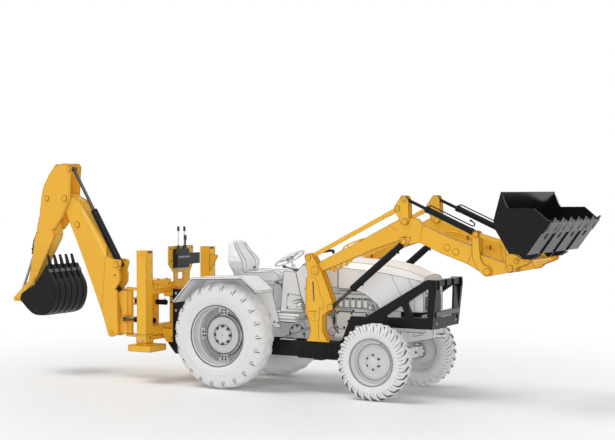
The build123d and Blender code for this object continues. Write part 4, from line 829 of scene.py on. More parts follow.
vinyl = finish("seat_vinyl", (0.80, 0.80, 0.80), 0.55, mottle=0.02, grain=0.0008)
for name, node in (("seat_cushion_pad", "seat_cushion"), ("seat_back_pad", "seat_backrest")):
    cushion(name, node, "chassis", (-0.135, 0.135))
piping = Shape()
EDGES = ((-0.030, 0.170, 1.41), (-0.026, 0.186, 1.50), (-0.019, 0.229, 1.60), (-0.060, 0.212, 1.675),
         (-0.146, 0.167, 1.77), (-0.200, 0.148, 1.862))
for side in (-1, 1):
    piping.tube([(0.02, side * 0.136, 1.506), (0.47, side * 0.136, 1.508), (0.535, side * 0.136, 1.478),
                 (0.552, side * 0.136, 1.425)], 0.0035, line_dark, 0.05, 8)
    piping.tube([(x + 0.002, side * min(y * 0.6, 0.12), z) for x, y, z in EDGES], 0.0032, line_dark,
                0.03, 8)
    piping.tube([(x, side * y, z) for x, y, z in EDGES], 0.0035, line_dark, 0.03, 8)
    piping.tube([(0.0, side * 0.223, 1.468), (0.47, side * 0.223, 1.498), (0.53, side * 0.223, 1.46),
                 (0.54, side * 0.223, 1.41)], 0.003, line_dark, 0.04, 8)
piping.done("seat_piping", "chassis", "cushion")

# Fenders
# Bent sheet over each rear tyre with a rolled outer lip, an inner side sheet and a stay under its top.
dress(clay, "fenders")
# The rolled lip is drawn in a paler tone than the coat, as painted highlight along its edge.
pale_highlight = finish("pale_highlight", (0.88, 0.88, 0.88), 0.5)
wing = Shape()
TOP = [(-0.668, 1.108), (-0.374, 1.430), (0.389, 1.462), (0.612, 1.290)]
for side in (-1, 1):
    wing.tube([(x, side * 0.905, z - 0.006) for x, z in [(-0.660, 1.110)] + TOP[1:3] + [(0.606, 1.286)]],
              0.0105, pale_highlight, 0.05, 10)
    wing.tube([(x, side * 0.908, z - 0.024) for x, z in [(-0.648, 1.106)] + TOP[1:3] + [(0.596, 1.280)]],
              0.0038, line_dark, 0.05, 6)
    wing.tube([(0.02, side * 0.52, 1.424), (0.02, side * 0.7, 1.424), (0.02, side * 0.88, 1.424)], 0.010,
              clay, 0.05)
    for x, z in ((0.64, 0.87), (0.69, 0.86), (0.56, 0.95), (-0.5, 1.12), (-0.3, 1.02)):
        wing.bolt((x, side * 0.494, z), (0, -side, 0), 0.018, line_dark)
        wing.bolt((x, side * 0.508, z), (0, side, 0), 0.018, line_dark)
    for z in (0.82, 0.9, 0.98):
        wing.bolt((0.04, side * 0.43, z), (0, -side, 0), 0.022, line_dark)
        wing.bolt((-0.04, side * 0.43, z), (0, -side, 0), 0.022, line_dark)
wing.done("fender_trim", "chassis", "body")
ink("fender_lines", "chassis", ["fenders"], radius=0.0026)

# Operator's floor
# A folded floor sheet between the fenders, with pedals, a gear lever, a throttle and a step on each
# side.
dress(clay, "platform")
deck = Shape()
for k in range(9):
    y = -0.44 + 0.11 * k
    deck.block((0.62, y - 0.014, 0.984), (0.98, y + 0.014, 0.987), clay)
# A pale strip along the floor's near edge is painted highlight.
deck.block((0.42, -0.492, 0.955), (1.0, -0.488, 0.988), pale_highlight)
for side in (-1, 1):
    deck.block((0.57, side * 0.4852 - 0.001, 0.868), (0.92, side * 0.4852 + 0.001, 0.878), line_dark)
for y, reach in ((-0.33, 0.86), (-0.24, 0.86), (0.30, 0.87)):
    deck.tube([(0.98, y, 1.0), (0.93, y, 1.10), (reach + 0.03, y, 1.13)], 0.009, clay, 0.04, 8)
    deck.plate([(reach - 0.02, 1.10), (reach + 0.045, 1.12), (reach + 0.03, 1.152),
                (reach - 0.035, 1.13)], y - 0.035, y + 0.035, clay)
    for k in range(3):
        deck.block((reach - 0.02 + 0.02 * k, y - 0.034, 1.132 + 0.007 * k),
                   (reach - 0.012 + 0.02 * k, y + 0.034, 1.141 + 0.007 * k), line_dark)
deck.tube([(0.50, 0.0, 0.984), (0.50, 0.0, 1.16), (0.46, -0.02, 1.31), (0.44, -0.03, 1.36)], 0.009, clay,
          0.08, 10)
deck.turned((0.44, -0.03, 1.36), (0.43, -0.035, 1.40),
            [(-0.004, 0.012), (0.006, 0.023), (0.022, 0.026), (0.036, 0.02), (0.042, 0.008)], line_dark,
            20)
deck.turned((0.50, 0.0, 0.983), (0.50, 0.0, 2), [(0, 0.06), (0.02, 0.05), (0.045, 0.024), (0.06, 0.014)],
            line_dark, 24)
for side in (-1, 1):
    deck.tube([(0.42, side * 0.21, 0.984), (0.42, side * 0.22, 1.10), (0.37, side * 0.24, 1.24)], 0.008,
              clay, 0.06, 8)
    deck.turned((0.37, side * 0.24, 1.24), (0.355, side * 0.245, 1.28),
                [(-0.004, 0.01), (0.006, 0.017), (0.03, 0.018), (0.038, 0.008)], line_dark, 16)
    deck.tube([(1.027, side * 0.50, 1.135), (1.12, side * 0.50, 1.03), (1.207, side * 0.50, 0.913),
               (1.174, side * 0.50, 0.823), (0.90, side * 0.50, 0.72), (0.76, side * 0.50, 0.672)],
              0.011, clay, 0.07, 10)
    deck.tube([(1.00, side * 0.49, 0.972), (1.06, side * 0.505, 0.93), (1.10, side * 0.505, 0.80)],
              0.009, clay, 0.05, 8)
    deck.plate([(0.962, 1.07), (1.036, 1.10), (1.03, 1.148), (0.97, 1.118)], side * 0.485, side * 0.515,
               clay)
    deck.block((0.74, side * 0.46, 0.655), (0.94, side * 0.54, 0.668), clay)
    for k in range(5):
        deck.block((0.755 + 0.038 * k, side * 0.465, 0.668), (0.768 + 0.038 * k, side * 0.535, 0.673),
                   line_dark)
deck_trim = deck.done("platform_trim", "chassis", "body")
ink("platform_lines", "chassis", ["platform"], [deck_trim], radius=0.0022)

# Subframe
# Two deep rails of folded black plate under the tractor, tied by cross members, with hooks for the
# backhoe behind. Like all the added steelwork it is welded first, then sprayed in thick gloss, and
# bolted to the castings.
black_paint = finish("black_paint", (0.009, 0.009, 0.0095), 0.22, mottle=0.03, sheen=0.16)
zinc = finish("zinc", (0.42, 0.43, 0.45), 0.34, metal=0.85)
dress(black_paint, "subframe")
rails = Shape()
for side in (-1, 1):
    for x in (-0.90, -0.80):
        for z in (0.70, 0.95, 1.18):
            rails.bolt((x, side * 0.49, z), (0, side, 0), 0.026, zinc)
    for x in (1.04, 1.12, 1.38, 1.46, 1.54):
        rails.bolt((x, side * 0.49, 0.60), (0, side, 0), 0.028, black_paint)
        rails.bolt((x, side * 0.49, 0.52), (0, side, 0), 0.028, black_paint)
    rails.plate([(-0.60, 0.48), (-0.20, 0.48), (-0.14, 0.52), (-0.14, 0.62), (-0.60, 0.62)],
                side * 0.489, side * 0.496, black_paint)
    rails.plate([(0.30, 0.48), (0.86, 0.48), (0.86, 0.62), (0.30, 0.62)], side * 0.489, side * 0.494,
                black_paint)
    for x in (0.34, 0.58, 0.82):
        rails.bolt((x, side * 0.494, 0.55), (0, side, 0), 0.024, black_paint)
    rails.ring((-0.985, 0.568), side * 0.46, side, 0.034, 0.022, 0.004, black_paint, sunk=0.001)
    rails.tube([(-0.745, side * 0.43, 0.66), (-0.60, side * 0.44, 0.664), (0.95, side * 0.44, 0.664),
                (1.10, side * 0.43, 0.66)], 0.009, black_paint, 0.05, 8)
    for x in (-0.5, 0.1, 0.7):
        rails.block((x, side * 0.425, 0.654), (x + 0.03, side * 0.456, 0.676), black_paint)
rails.done("subframe_trim", "chassis", "black")

# Loader posts
# Each post is a folded yellow plate box with a sleeve plate welded over its lower half, bolted to the
# rail. The loader's pins are given as metres ahead of the rear axle and above the ground.
yellow_paint = finish("yellow_paint", (0.85, 0.45, 0.026), 0.4, coat=0.08, mottle=0.015, grain=0.0003,
                      sheen=0.4)
# A dark brown for welded seams, pin rings and bolts, and as painted shade along the creases of the
# yellow pieces.
brown_and_crease_shade = finish("brown_and_crease_shade", (0.26, 0.11, 0.01), 0.6)
YELLOW_LINE = 0.0024
ARM_Y = 0.483
ARM_PIN, LINK_A, LIFT_C = (1.251, 1.553), (1.152, 1.715), (1.464, 1.095)
LIFT_K, KNEE, LINK_B, BELL_B = (2.472, 1.94), (2.485, 2.181), (2.386, 2.343), (2.471, 2.46)
LEVER_A, LEVER_T, HITCH_T = (3.55, 1.604), (3.408, 2.042), (3.8, 1.93)


def crease_shade_lines(name, body, node, radius=YELLOW_LINE):
    # Thin brown lines of painted shade along the creases of a yellow piece.
    ink(name, body, [node], radius=radius, look=brown_and_crease_shade)


def pin_head(shape, pin, y, side, radius, look, high=0.007):
    # The flanged end of a pivot pin, hollowed in the middle, with a grease nipple.
    x, z = pin
    shape.turned((x, y, z), (x, y + side, z),
                 [(-0.001, radius), (high * 0.7, radius), (high, radius * 0.92), (high, radius * 0.5),
                  (high * 0.5, radius * 0.4), (high * 0.5, 0.004), (high, 0.004)], look, 28)


def weld(shape, path, y, look, size=0.0024):
    # A welded or lapped seam drawn along a plate.
    for a, b in zip(path, path[1:]):
        shape.tube([(a[0], y, a[1]), ((a[0] + b[0]) / 2, y, (a[1] + b[1]) / 2), (b[0], y, b[1])], size,
                   look, 0.001, 6)


def beside(start, end, along, off):
    # A place measured along and to the left of the line between two pins, seen from the machine's right.
    dx, dz = end[0] - start[0], end[1] - start[1]
    reach = hypot(dx, dz)
    return (start[0] + dx / reach * along - dz / reach * off,
            start[1] + dz / reach * along + dx / reach * off)


def ram(shape, base, tip, y, mouth, radius, up, pipe=True):
    # What dresses a hydraulic barrel: a gland collar at its mouth and a ring at its base,
    # and if wished two ports with the steel pipe between them.
    def spot(along, off=0.0):
        x, z = beside(base, tip, along, off * up)
        return x, y, z
    shape.turned(spot(mouth - 0.05), spot(9),
                 [(0, radius + 0.0005), (0.003, radius + 0.005), (0.044, radius + 0.005),
                  (0.051, radius - 0.001), (0.051, radius * 0.6)], black_paint, 32)
    shape.turned(spot(0.075), spot(9),
                 [(0, radius + 0.0004), (0.004, radius + 0.004), (0.02, radius + 0.004),
                  (0.026, radius + 0.0004)], black_paint, 32)
    if pipe:
        for along in (0.13, mouth - 0.085):
            shape.rod(spot(along, radius - 0.004), spot(along, radius + 0.012), 0.013, black_paint, 16)
        shape.tube([spot(0.13, radius + 0.01), spot(0.13, radius + 0.026),
                    spot(mouth - 0.085, radius + 0.026), spot(mouth - 0.085, radius + 0.01)],
                   0.0065, black_paint, 0.022, 8)
        for along in (0.3, mouth - 0.25):
            shape.rod(spot(along, radius - 0.004), spot(along + 0.0001, radius + 0.034), 0.008,
                      black_paint, 10)


dress(yellow_paint, "loader_posts")
SLEEVE = [(1.134, 1.459), (1.197, 1.466), (1.232, 1.461), (1.258, 1.447), (1.288, 1.407),
          (1.306, 1.337), (1.313, 1.27), (1.346, 1.219), (1.366, 1.162), (1.368, 1.069),
          (1.348, 1.055), (1.330, 1.10), (1.313, 1.10), (1.313, 0.921), (1.202, 0.924), (1.13, 1.03)]
posts = Shape()
for side in (-1, 1):
    posts.plate(SLEEVE, side * 0.5445, side * 0.5490, yellow_paint)
    weld(posts, SLEEVE[1:] + SLEEVE[:1], side * 0.5465, brown_and_crease_shade, 0.0026)
    posts.plate([(1.214, 1.405), (1.219, 1.418), (1.229, 1.418), (1.234, 1.405), (1.244, 1.17),
                 (1.230, 1.165)], side * 0.5480, side * 0.5496, line_dark)
    posts.block((1.156, side * 0.5480, 1.033), (1.276, side * 0.5498, 1.041), brown_and_crease_shade)
    posts.block((1.238, side * 0.5480, 0.955), (1.246, side * 0.5498, 1.022), brown_and_crease_shade)
    weld(posts, [(1.300, 0.90), (1.302, 0.68)], side * 0.5460, brown_and_crease_shade)
    weld(posts, [(1.128, 1.30), (1.134, 1.456)], side * 0.5460, brown_and_crease_shade)
    pin_head(posts, ARM_PIN, side * 0.556, side, 0.026, yellow_paint)
    pin_head(posts, LINK_A, side * 0.553, side, 0.018, yellow_paint)
    pin_head(posts, LIFT_C, side * 0.555, side, 0.024, yellow_paint, 0.01)
    posts.bolt((1.318, side * 0.545, 1.629), (0, side, 0), 0.012, yellow_paint)
    for x in (1.155, 1.50, 1.56):
        posts.bolt((x, side * 0.505, 0.674), (0, 0, 1), 0.030, zinc)
        posts.bolt((x, side * 0.455, 0.674), (0, 0, 1), 0.030, zinc)
    posts.block((1.455, side * 0.415, 0.654), (1.592, side * 0.548, 0.679), black_paint)
posts.tube([(1.202, -0.424, 1.762), (1.26, -0.40, 1.778), (1.38, -0.39, 1.800), (1.432, -0.39, 1.802),
            (1.436, -0.40, 1.765)], 0.017, black_paint, 0.03, 12)
posts.done("post_trim", "chassis", "yellow")
crease_shade_lines("loader_posts_lines", "chassis", "loader_posts")

# Front guard
# Flame-cut side frames of thick black plate run round the hood's nose, tied by bars that take a knock.
dress(black_paint, "front_guard")
gunmetal = finish("gunmetal", (0.10, 0.10, 0.102), 0.4, mottle=0.03)
bars = Shape()
for side in (-1, 1):
    bars.plate([(2.785, 1.469), (2.856, 1.472), (2.872, 1.452), (2.872, 1.362), (2.850, 1.345),
                (2.848, 1.40), (2.785, 1.40)], side * 0.352, side * 0.366, black_paint)
    bars.plate([(2.785, 1.469), (2.856, 1.472), (2.868, 1.452), (2.868, 1.37), (2.850, 1.355),
                (2.848, 1.40), (2.785, 1.40)], side * 0.10, side * 0.112, black_paint)
    for x, z in ((2.79, 1.44), (2.82, 1.44), (1.60, 0.58), (1.60, 0.84), (1.66, 0.92), (2.64, 0.94),
                 (2.70, 0.94), (2.30, 0.93)):
        bars.bolt((x, side * 0.42, z), (0, side, 0), 0.022, black_paint)
    weld(bars, [(2.455, 0.998), (2.505, 0.870)], side * 0.4195, black_paint, 0.003)
    weld(bars, [(1.735, 0.872), (1.905, 0.98)], side * 0.4195, black_paint, 0.003)
    bars.slab([(2.66, side * 0.15), (2.72, side * 0.15), (2.72, side * 0.19), (2.66, side * 0.19)], 0.86,
              0.9, black_paint)
    bars.bolt((2.69, side * 0.15, 0.875), (0, side, 0), 0.026, zinc)
bars.block((2.828, -0.358, 1.026), (2.834, 0.358, 1.074), gunmetal)
bars.block((2.786, -0.358, 1.078), (2.834, 0.358, 1.084), gunmetal)
for y in (-0.30, 0.30):
    bars.bolt((2.80, y, 0.935), (1, 0, 0), 0.03, zinc)
bars.done("guard_trim", "chassis", "black")

# Loader arms
# Box beams of yellow plate with a knee plate let in at the bend, tied by two round tubes welded
# through them.
dress(yellow_paint, "loader_arms")
beams = Shape()
for side in (-1, 1):
    face = side * 0.5182
    for path in ([(2.258, 2.133), (2.392, 2.068)],
                 [(2.716, 2.134), (2.686, 2.044), (2.701, 1.967), (2.676, 1.938)],
                 [(3.36, 1.895), (3.33, 1.78), (3.302, 1.692)]):
        weld(beams, path, face, brown_and_crease_shade, 0.002)
    for x, z in ((3.034, 1.879), (3.145, 1.828)):
        beams.turned((x, side * 0.518, z), (x, side * 2, z),
                     [(0, 0.037), (0.0035, 0.037), (0.0045, 0.034), (0.0045, 0.01)], yellow_paint, 36)
        beams.ring((x, z), side * 0.5182, side, 0.043, 0.039, 0.0018, brown_and_crease_shade, 36, 0.001)
        beams.turned((x, side * 0.448, z), (x, 0, z), [(-0.001, 0.039), (-0.001, 0.049), (0.009, 0.041)],
                     yellow_paint, 28, closed=True)
    pin_head(beams, LIFT_K, side * 0.534, side, 0.026, yellow_paint)
    y = side * ARM_Y
    beams.tube([(1.603, y, 1.798), (1.632, y, 1.858), (1.688, y, 1.888), (1.781, y, 1.921),
                (1.885, y, 1.958), (1.93, y, 1.962)], 0.0105, yellow_paint, 0.04, 10)
    beams.tube([(1.665, y, 1.874), (1.690, y, 1.862), (1.705, y, 1.846)], 0.009, yellow_paint, 0.01, 8)
    for shift in (-0.018, 0.018):
        beams.tube([(1.430, y + shift, 1.578), (1.452, y + shift, 1.556), (1.52, y + shift, 1.577),
                    (1.66, y + shift, 1.641), (1.72, y + shift, 1.672), (1.74, y + shift, 1.708)],
                   0.009, yellow_paint, 0.025, 8)
    for x, z in ((1.47, 1.565), (1.56, 1.60), (1.65, 1.64)):
        beams.block((x, y - 0.03, z - 0.014), (x + 0.022, y + 0.03, z + 0.05), yellow_paint)
        beams.bolt((x + 0.011, y - side * 0.012, z - 0.014), (0, 0, -1), 0.018, brown_and_crease_shade)
    inner = side * 0.446
    for shift in (0.0, 0.026):
        beams.tube([(1.36, inner, 1.63 - shift), (1.90, inner, 1.875 - shift),
                    (2.30, inner, 2.03 - shift), (2.42, inner - side * 0.012, 2.01 - shift)], 0.0095,
                   yellow_paint, 0.12, 8)
        beams.tube([(2.60, inner - side * 0.012, 2.04 - shift), (2.78, inner, 2.03 - shift),
                    (3.28, inner, 1.83 - shift)], 0.0095, yellow_paint, 0.1, 8)
    for x, z in ((1.55, 1.703), (2.10, 1.938), (2.90, 1.968), (3.2, 1.85)):
        beams.block((x, side * 0.434, z - 0.03), (x + 0.03, side * 0.4485, z + 0.02), brown_and_crease_shade)
beams.done("arm_trim", "loader_arms", "yellow")
crease_shade_lines("loader_arms_lines", "loader_arms", "loader_arms")

# Levelling links
# Forked flat bars that keep the bellcranks upright while the arms rise, bushed at both ends.
dress(yellow_paint, "levelling_links")
links = Shape()
for side in (-1, 1):
    for y in (0.519, 0.4455):
        links.ring(LINK_B, side * y, side, 0.028, 0.018, 0.0015, brown_and_crease_shade)
    weld(links, [beside(LINK_A, LINK_B, 1.16, -0.024), beside(LINK_A, LINK_B, 1.16, 0.024)],
         side * 0.5195, brown_and_crease_shade, 0.0015)
links.done("link_trim", "levelling_links", "yellow")

# Bellcranks
# Paired yellow plates on one pin at each knee, joined by bosses where the link and the tilt ram are
# pinned.
dress(yellow_paint, "bellcranks")
cranks = Shape()
for side in (-1, 1):
    for pin, radius in ((KNEE, 0.024), (LINK_B, 0.02), (BELL_B, 0.022)):
        pin_head(cranks, pin, side * 0.541, side, radius, yellow_paint)
        cranks.ring(pin, side * 0.5328, side, radius + 0.013, radius + 0.01, 0.0016, brown_and_crease_shade)
cranks.done("bellcrank_trim", "bellcranks", "yellow")
crease_shade_lines("bellcranks_lines", "bellcranks", "bellcranks")

# Lift rams
# Black hydraulic barrels hung from the knees, with hard chromed rods down to the posts.
dress(black_paint, "lift_barrels")
rod_chrome = finish("rod_chrome", (0.085, 0.087, 0.095), 0.14, metal=1.0, mottle=0.01)
dress(rod_chrome, "lift_rods")
lifts, rods = Shape(), Shape()
for side in (-1, 1):
    ram(lifts, LIFT_K, LIFT_C, side * ARM_Y, 0.88, 0.04, 1, pipe=False)
    x, z = beside(LIFT_K, LIFT_C, 0.20, 0)
    lifts.turned((x, side * ARM_Y, z), (LIFT_C[0], side * ARM_Y, LIFT_C[1]),
                 [(0, 0.0405), (0.004, 0.0455), (0.745, 0.0455), (0.750, 0.041), (0.750, 0.024)],
                 black_paint, 36)
    for along in (0.165, 0.80):
        x, z = beside(LIFT_K, LIFT_C, along, 0.036)
        x1, z1 = beside(LIFT_K, LIFT_C, along, 0.058)
        lifts.rod((x, side * ARM_Y, z), (x1, side * ARM_Y, z1), 0.014, black_paint, 14)
    rods.ring(LIFT_C, side * 0.508, side, 0.034, 0.028, 0.004, black_paint)
lifts.done("lift_barrel_trim", "lift_barrels", "black")
rods.done("lift_rod_trim", "lift_rods", "rod")

# Tilt levers
# Cranked yellow plates outside each arm, pinned low down, that turn the ram's push into the bucket's
# tilt.
dress(yellow_paint, "tilt_levers")
levers = Shape()
for side in (-1, 1):
    for pin, radius in ((LEVER_A, 0.026), (LEVER_T, 0.022)):
        pin_head(levers, pin, side * 0.546, side, radius, yellow_paint)
        levers.ring(pin, side * 0.5358, side, radius + 0.016, radius + 0.012, 0.0018, brown_and_crease_shade)
levers.done("lever_trim", "tilt_levers", "yellow")
crease_shade_lines("tilt_levers_lines", "tilt_levers", "tilt_levers")

# Tilt links
# Short paired bars from the lever tops to the bucket hitch.
dress(yellow_paint, "tilt_links")
short = Shape()
for side in (-1, 1):
    for away in (0.15, 0.30):
        a, b = beside(LEVER_T, HITCH_T, away, -0.021), beside(LEVER_T, HITCH_T, away, 0.021)
        weld(short, [a, b], side * 0.5178, brown_and_crease_shade, 0.0012)
short.done("tilt_link_trim", "tilt_links", "yellow")

# Tilt rams
# Long black barrels from the lever tops up to the bellcranks, with a steel pipe along the back of
# each. Each rod runs on inside its barrel, so that it's still whole when the bucket is tipped and
# draws it out.
dress(black_paint, "tilt_barrels", "tilt_rods")
shafts = Shape()
tilts = Shape()
for side in (-1, 1):
    ram(tilts, LEVER_T, BELL_B, side * ARM_Y, 0.73, 0.038, -1, pipe=False)
    (x0, z0), (x1, z1) = beside(LEVER_T, BELL_B, 0.225, 0), beside(LEVER_T, BELL_B, 0.62, 0)
    shafts.rod((x0, side * ARM_Y, z0), (x1, side * ARM_Y, z1), 0.0185, black_paint, 28)
    path = [beside(LEVER_T, BELL_B, along, off) for along, off in
            ((0.70, -0.036), (0.70, -0.062), (0.10, -0.062), (0.075, -0.075), (0.085, -0.105),
             (0.13, -0.112))]
    tilts.tube([(x, side * ARM_Y, z) for x, z in path], 0.008, black_paint, 0.02, 10)
    x, z = beside(LEVER_T, BELL_B, 0.155, -0.112)
    x0, z0 = path[-1]
    tilts.rod((x0, side * ARM_Y, z0), (x, side * ARM_Y, z), 0.012, black_paint, 14)
tilts.done("tilt_barrel_trim", "tilt_barrels", "black")
shafts.done("tilt_rod_shafts", "tilt_rods", "rod")

# Bucket hitch
# Side brackets on the arm ends, tied by two bars, that carry the bucket on a hook and a locking pin.
dress(yellow_paint, "bucket_hitch")
hooks = Shape()
for side in (-1, 1):
    pin_head(hooks, (3.831, 1.65), side * 0.548, side, 0.03, yellow_paint)
    pin_head(hooks, (3.915, 1.738), side * 0.548, side, 0.022, yellow_paint)
    pin_head(hooks, HITCH_T, side * 0.538, side, 0.022, yellow_paint)
    pin_head(hooks, (4.02, 1.738), side * 0.538, side, 0.019, yellow_paint)
    weld(hooks, [(3.786, 1.80), (3.86, 1.83), (3.90, 1.81)], side * 0.5384, brown_and_crease_shade, 0.0018)
hooks.tube([(3.965, -0.43, 1.70), (3.965, -0.30, 1.69), (3.965, 0.30, 1.69), (3.965, 0.43, 1.70)], 0.011,
           yellow_paint, 0.05, 10)
for y in (-0.2, 0.2):
    hooks.block((3.90, y - 0.012, 1.70), (4.03, y + 0.012, 1.725), yellow_paint)
hooks.done("hitch_trim", "loader_bucket", "yellow")
crease_shade_lines("bucket_hitch_lines", "loader_bucket", "bucket_hitch")

# Loader bucket
# A bent shell of thick black plate between two side plates, with a cutting edge and seven teeth
# welded on.
dress(black_paint, "loader_bucket")
scoop = Shape()
for side in (-1, 1):
    for path in ([(3.80, 2.276), (4.20, 2.284), (4.37, 2.155)],
                 [(3.90, 2.50), (3.935, 2.405), (3.965, 2.362)]):
        weld(scoop, path, side * 0.9475, gunmetal, 0.0025)
    scoop.plate([(4.26, 2.355), (4.425, 2.229), (4.46, 2.215), (4.44, 2.19), (4.25, 2.325)],
                side * 0.934, side * 0.9385, black_paint)
scoop.plate([(4.362, 2.081), (4.373, 2.073), (4.4655, 2.2005), (4.4625, 2.2165)], -0.945, 0.945,
            black_paint)
scoop.plate([(3.8725, 2.5465), (3.886, 2.541), (3.869, 2.478), (3.8545, 2.482)], -0.9475, 0.9475,
            black_paint)
scoop.turned((3.8795, -0.9475, 2.5405), (3.8795, 2, 2.5405), [(0, 0.0062), (1.895, 0.0062)], black_paint,
             16)
FLOOR_FOOT, FLOOR_LIP = Vector((4.186, 1.832)), Vector((4.463, 2.218))
ALONG, OUT = (FLOOR_LIP - FLOOR_FOOT).normalized(), Vector((0.8125, -0.583))


def floor_bar(low, high, y, wide, thick):
    # A flat bar welded under the bucket's floor, between two distances up from its bend.
    spots = [FLOOR_FOOT + ALONG * low - OUT * 0.004, FLOOR_FOOT + ALONG * high - OUT * 0.004,
             FLOOR_FOOT + ALONG * high + OUT * thick, FLOOR_FOOT + ALONG * low + OUT * thick]
    scoop.plate([tuple(p) for p in spots], y - wide, y + wide, bar_black)


bar_black = finish("bar_black", (0.006, 0.006, 0.006), 0.7, sheen=0.1)
for y in (-ARM_Y, 0.0, ARM_Y):
    floor_bar(0.0, 0.43, y, 0.012, 0.012)
for y in (-0.725, -0.2415, 0.2415, 0.725):
    floor_bar(0.22, 0.36, y, 0.010, 0.006)
for row in range(7):
    floor_bar(0.335, 0.476, (row / 3 - 1) * 0.87, 0.031, 0.010)
scoop.done("bucket_trim", "loader_bucket", "black")

# Backhoe frame
# Two square leg tubes joined by an upper and a lower beam of yellow box section, hooked on the black
# subframe. The backhoe's middle plane and pins are laid out here once.
dress(yellow_paint, "backhoe_frame")
HOE_Y = -0.5
BOOM_FOOT, BOOM_C, BOOM_M = (-1.889, 0.620), (-1.790, 1.120), (-2.485, 2.082)
DIP_A, DIP_B, ELBOW = (-1.809, 1.545), (-2.612, 2.858), (-2.694, 2.447)
HOE_B, HOE_J = (-3.002, 2.446), (-3.595, 1.010)
gantry = Shape()
for side in (-1, 1):
    gantry.block((-1.288, side * 0.693, 1.753), (-1.132, side * 0.849, 1.760), yellow_paint)
    gantry.plate([(-1.221, 1.700), (-1.195, 1.700), (-1.195, 1.705), (-1.221, 1.705)], side * 0.845,
                 side * 0.849, brown_and_crease_shade)
    gantry.turned((-1.208, side * 0.845, 1.702), (-1.208, side * 2, 1.702),
                  [(0, 0.020), (0.007, 0.020), (0.009, 0.012), (0.03, 0.011), (0.034, 0.022),
                   (0.05, 0.022), (0.055, 0.015)], yellow_paint, 24)
    gantry.panel([(side * 0.715, 1.724), (side * 0.80, 1.724), (side * 0.80, 1.752),
                  (side * 0.715, 1.752)], -1.136, -1.1335, line_dark)
    for y, z in ((0.715, 1.60), (0.827, 1.50), (0.715, 1.42), (0.827, 1.36), (0.715, 0.98),
                 (0.827, 0.90), (0.715, 0.82)):
        gantry.turned((-1.1352, side * y, z), (0, side * y, z), [(0, 0.009), (0.0012, 0.009)],
                      brown_and_crease_shade, 14)
    gantry.bolt((-1.188, side * 0.853, 0.572), (0, side, 0), 0.026, zinc)
    gantry.bolt((-1.128, side * 0.771, 0.60), (1, 0, 0), 0.022, brown_and_crease_shade)
    for z in (0.625, 0.545):
        weld(gantry, [(-1.29, z), (-1.13, z)], side * 0.853, brown_and_crease_shade, 0.0014)
    for y, z in ((0.514, 1.138), (0.514, 1.062), (0.40, 1.138), (0.40, 0.74), (0.46, 0.74)):
        gantry.bolt((-0.957, side * y, z), (1, 0, 0), 0.026, line_dark)
    for z in (1.028, 0.827):
        gantry.block((-0.975, side * 0.475, z - 0.012), (-0.958, side * 0.492, z + 0.012), yellow_paint)
    gantry.block((-1.285, side * 0.18, 1.298), (-1.135, side * 0.186, 1.306), brown_and_crease_shade)
gantry.turned((-0.955, -0.498, 0.579), (0, -0.498, 0.579),
              [(0, 0.028), (0.006, 0.028), (0.006, 0.017), (0, 0.017)], yellow_paint, 24, closed=True)
gantry.done("gantry_trim", "chassis", "yellow")
crease_shade_lines("gantry_lines", "chassis", "backhoe_frame")

# Valve console
# A yellow pedestal of folded plate standing on the frame, which carries the control valve beside the
# operator.
dress(yellow_paint, "valve_console")
pedestal = Shape()
for y, z in ((-0.26, 1.25), (0.05, 1.25), (-0.38, 1.60), (-0.38, 1.77), (0.13, 1.60), (0.13, 1.77)):
    pedestal.bolt((-1.06, y, z), (1, 0, 0), 0.018, brown_and_crease_shade)
pedestal.done("console_trim", "chassis", "yellow")
crease_shade_lines("console_lines", "chassis", "valve_console")

# Control valve
# A banked spool valve in black painted iron, with slim levers rising out of rubber boots and a row of
# ports below.
valve_black = finish("valve_black", (0.014, 0.0142, 0.015), 0.3, mottle=0.03, sheen=0.3)
lever_white = finish("lever_white", (0.78, 0.78, 0.77), 0.35, coat=0.2)
knob_black = finish("knob_black", (0.012, 0.012, 0.012), 0.4)
dress(valve_black, "valve_block")
bank = Shape()
LEVERS = ((-1.030, -0.240, 2.070, 0.008), (-1.045, -0.072, 2.066, 0.008),
          (-1.014, -0.098, 1.949, 0.012))
for x, y, top, radius in LEVERS:
    bank.turned((x, y, 1.765), (x, y, 3),
                [(-0.004, 0.034), (0.006, 0.032), (0.012, 0.024), (0.018, 0.026), (0.024, 0.018),
                 (0.030, 0.02), (0.05, 0.0135)], knob_black, 20)
    bank.turned((x, y, 1.80), (x, y, 3), [(0, 0.0125), (top - 0.062 - 1.80, 0.0105)], lever_white, 16)
    bank.turned((x, y, top - 0.064), (x, y, 3),
                [(0, radius + 0.002), (0.004, radius + 0.0085), (0.03, radius + 0.0092),
                 (0.058, radius + 0.0085), (0.0645, radius)], knob_black, 20)
for row in range(6):
    y = -0.305 + 0.047 * row
    bank.block((-0.9855, y - 0.001, 1.537), (-0.9845, y + 0.001, 1.70), line_dark)
    bank.turned((-0.985, y + 0.022, 1.655), (0, y + 0.022, 1.655),
                [(0, 0.014), (0.003, 0.014), (0.003, 0.008)], zinc, 18)
    bank.turned((-0.985, y + 0.022, 1.58), (0, y + 0.022, 1.58),
                [(0, 0.012), (0.002, 0.012), (0.002, 0.006)], line_dark, 18)
    bank.turned((-1.03, y, 1.506), (-1.03, y, 1), [(0, 0.013), (0.018, 0.013), (0.022, 0.010)], zinc, 6)
bank.done("valve_trim", "chassis", "casting")

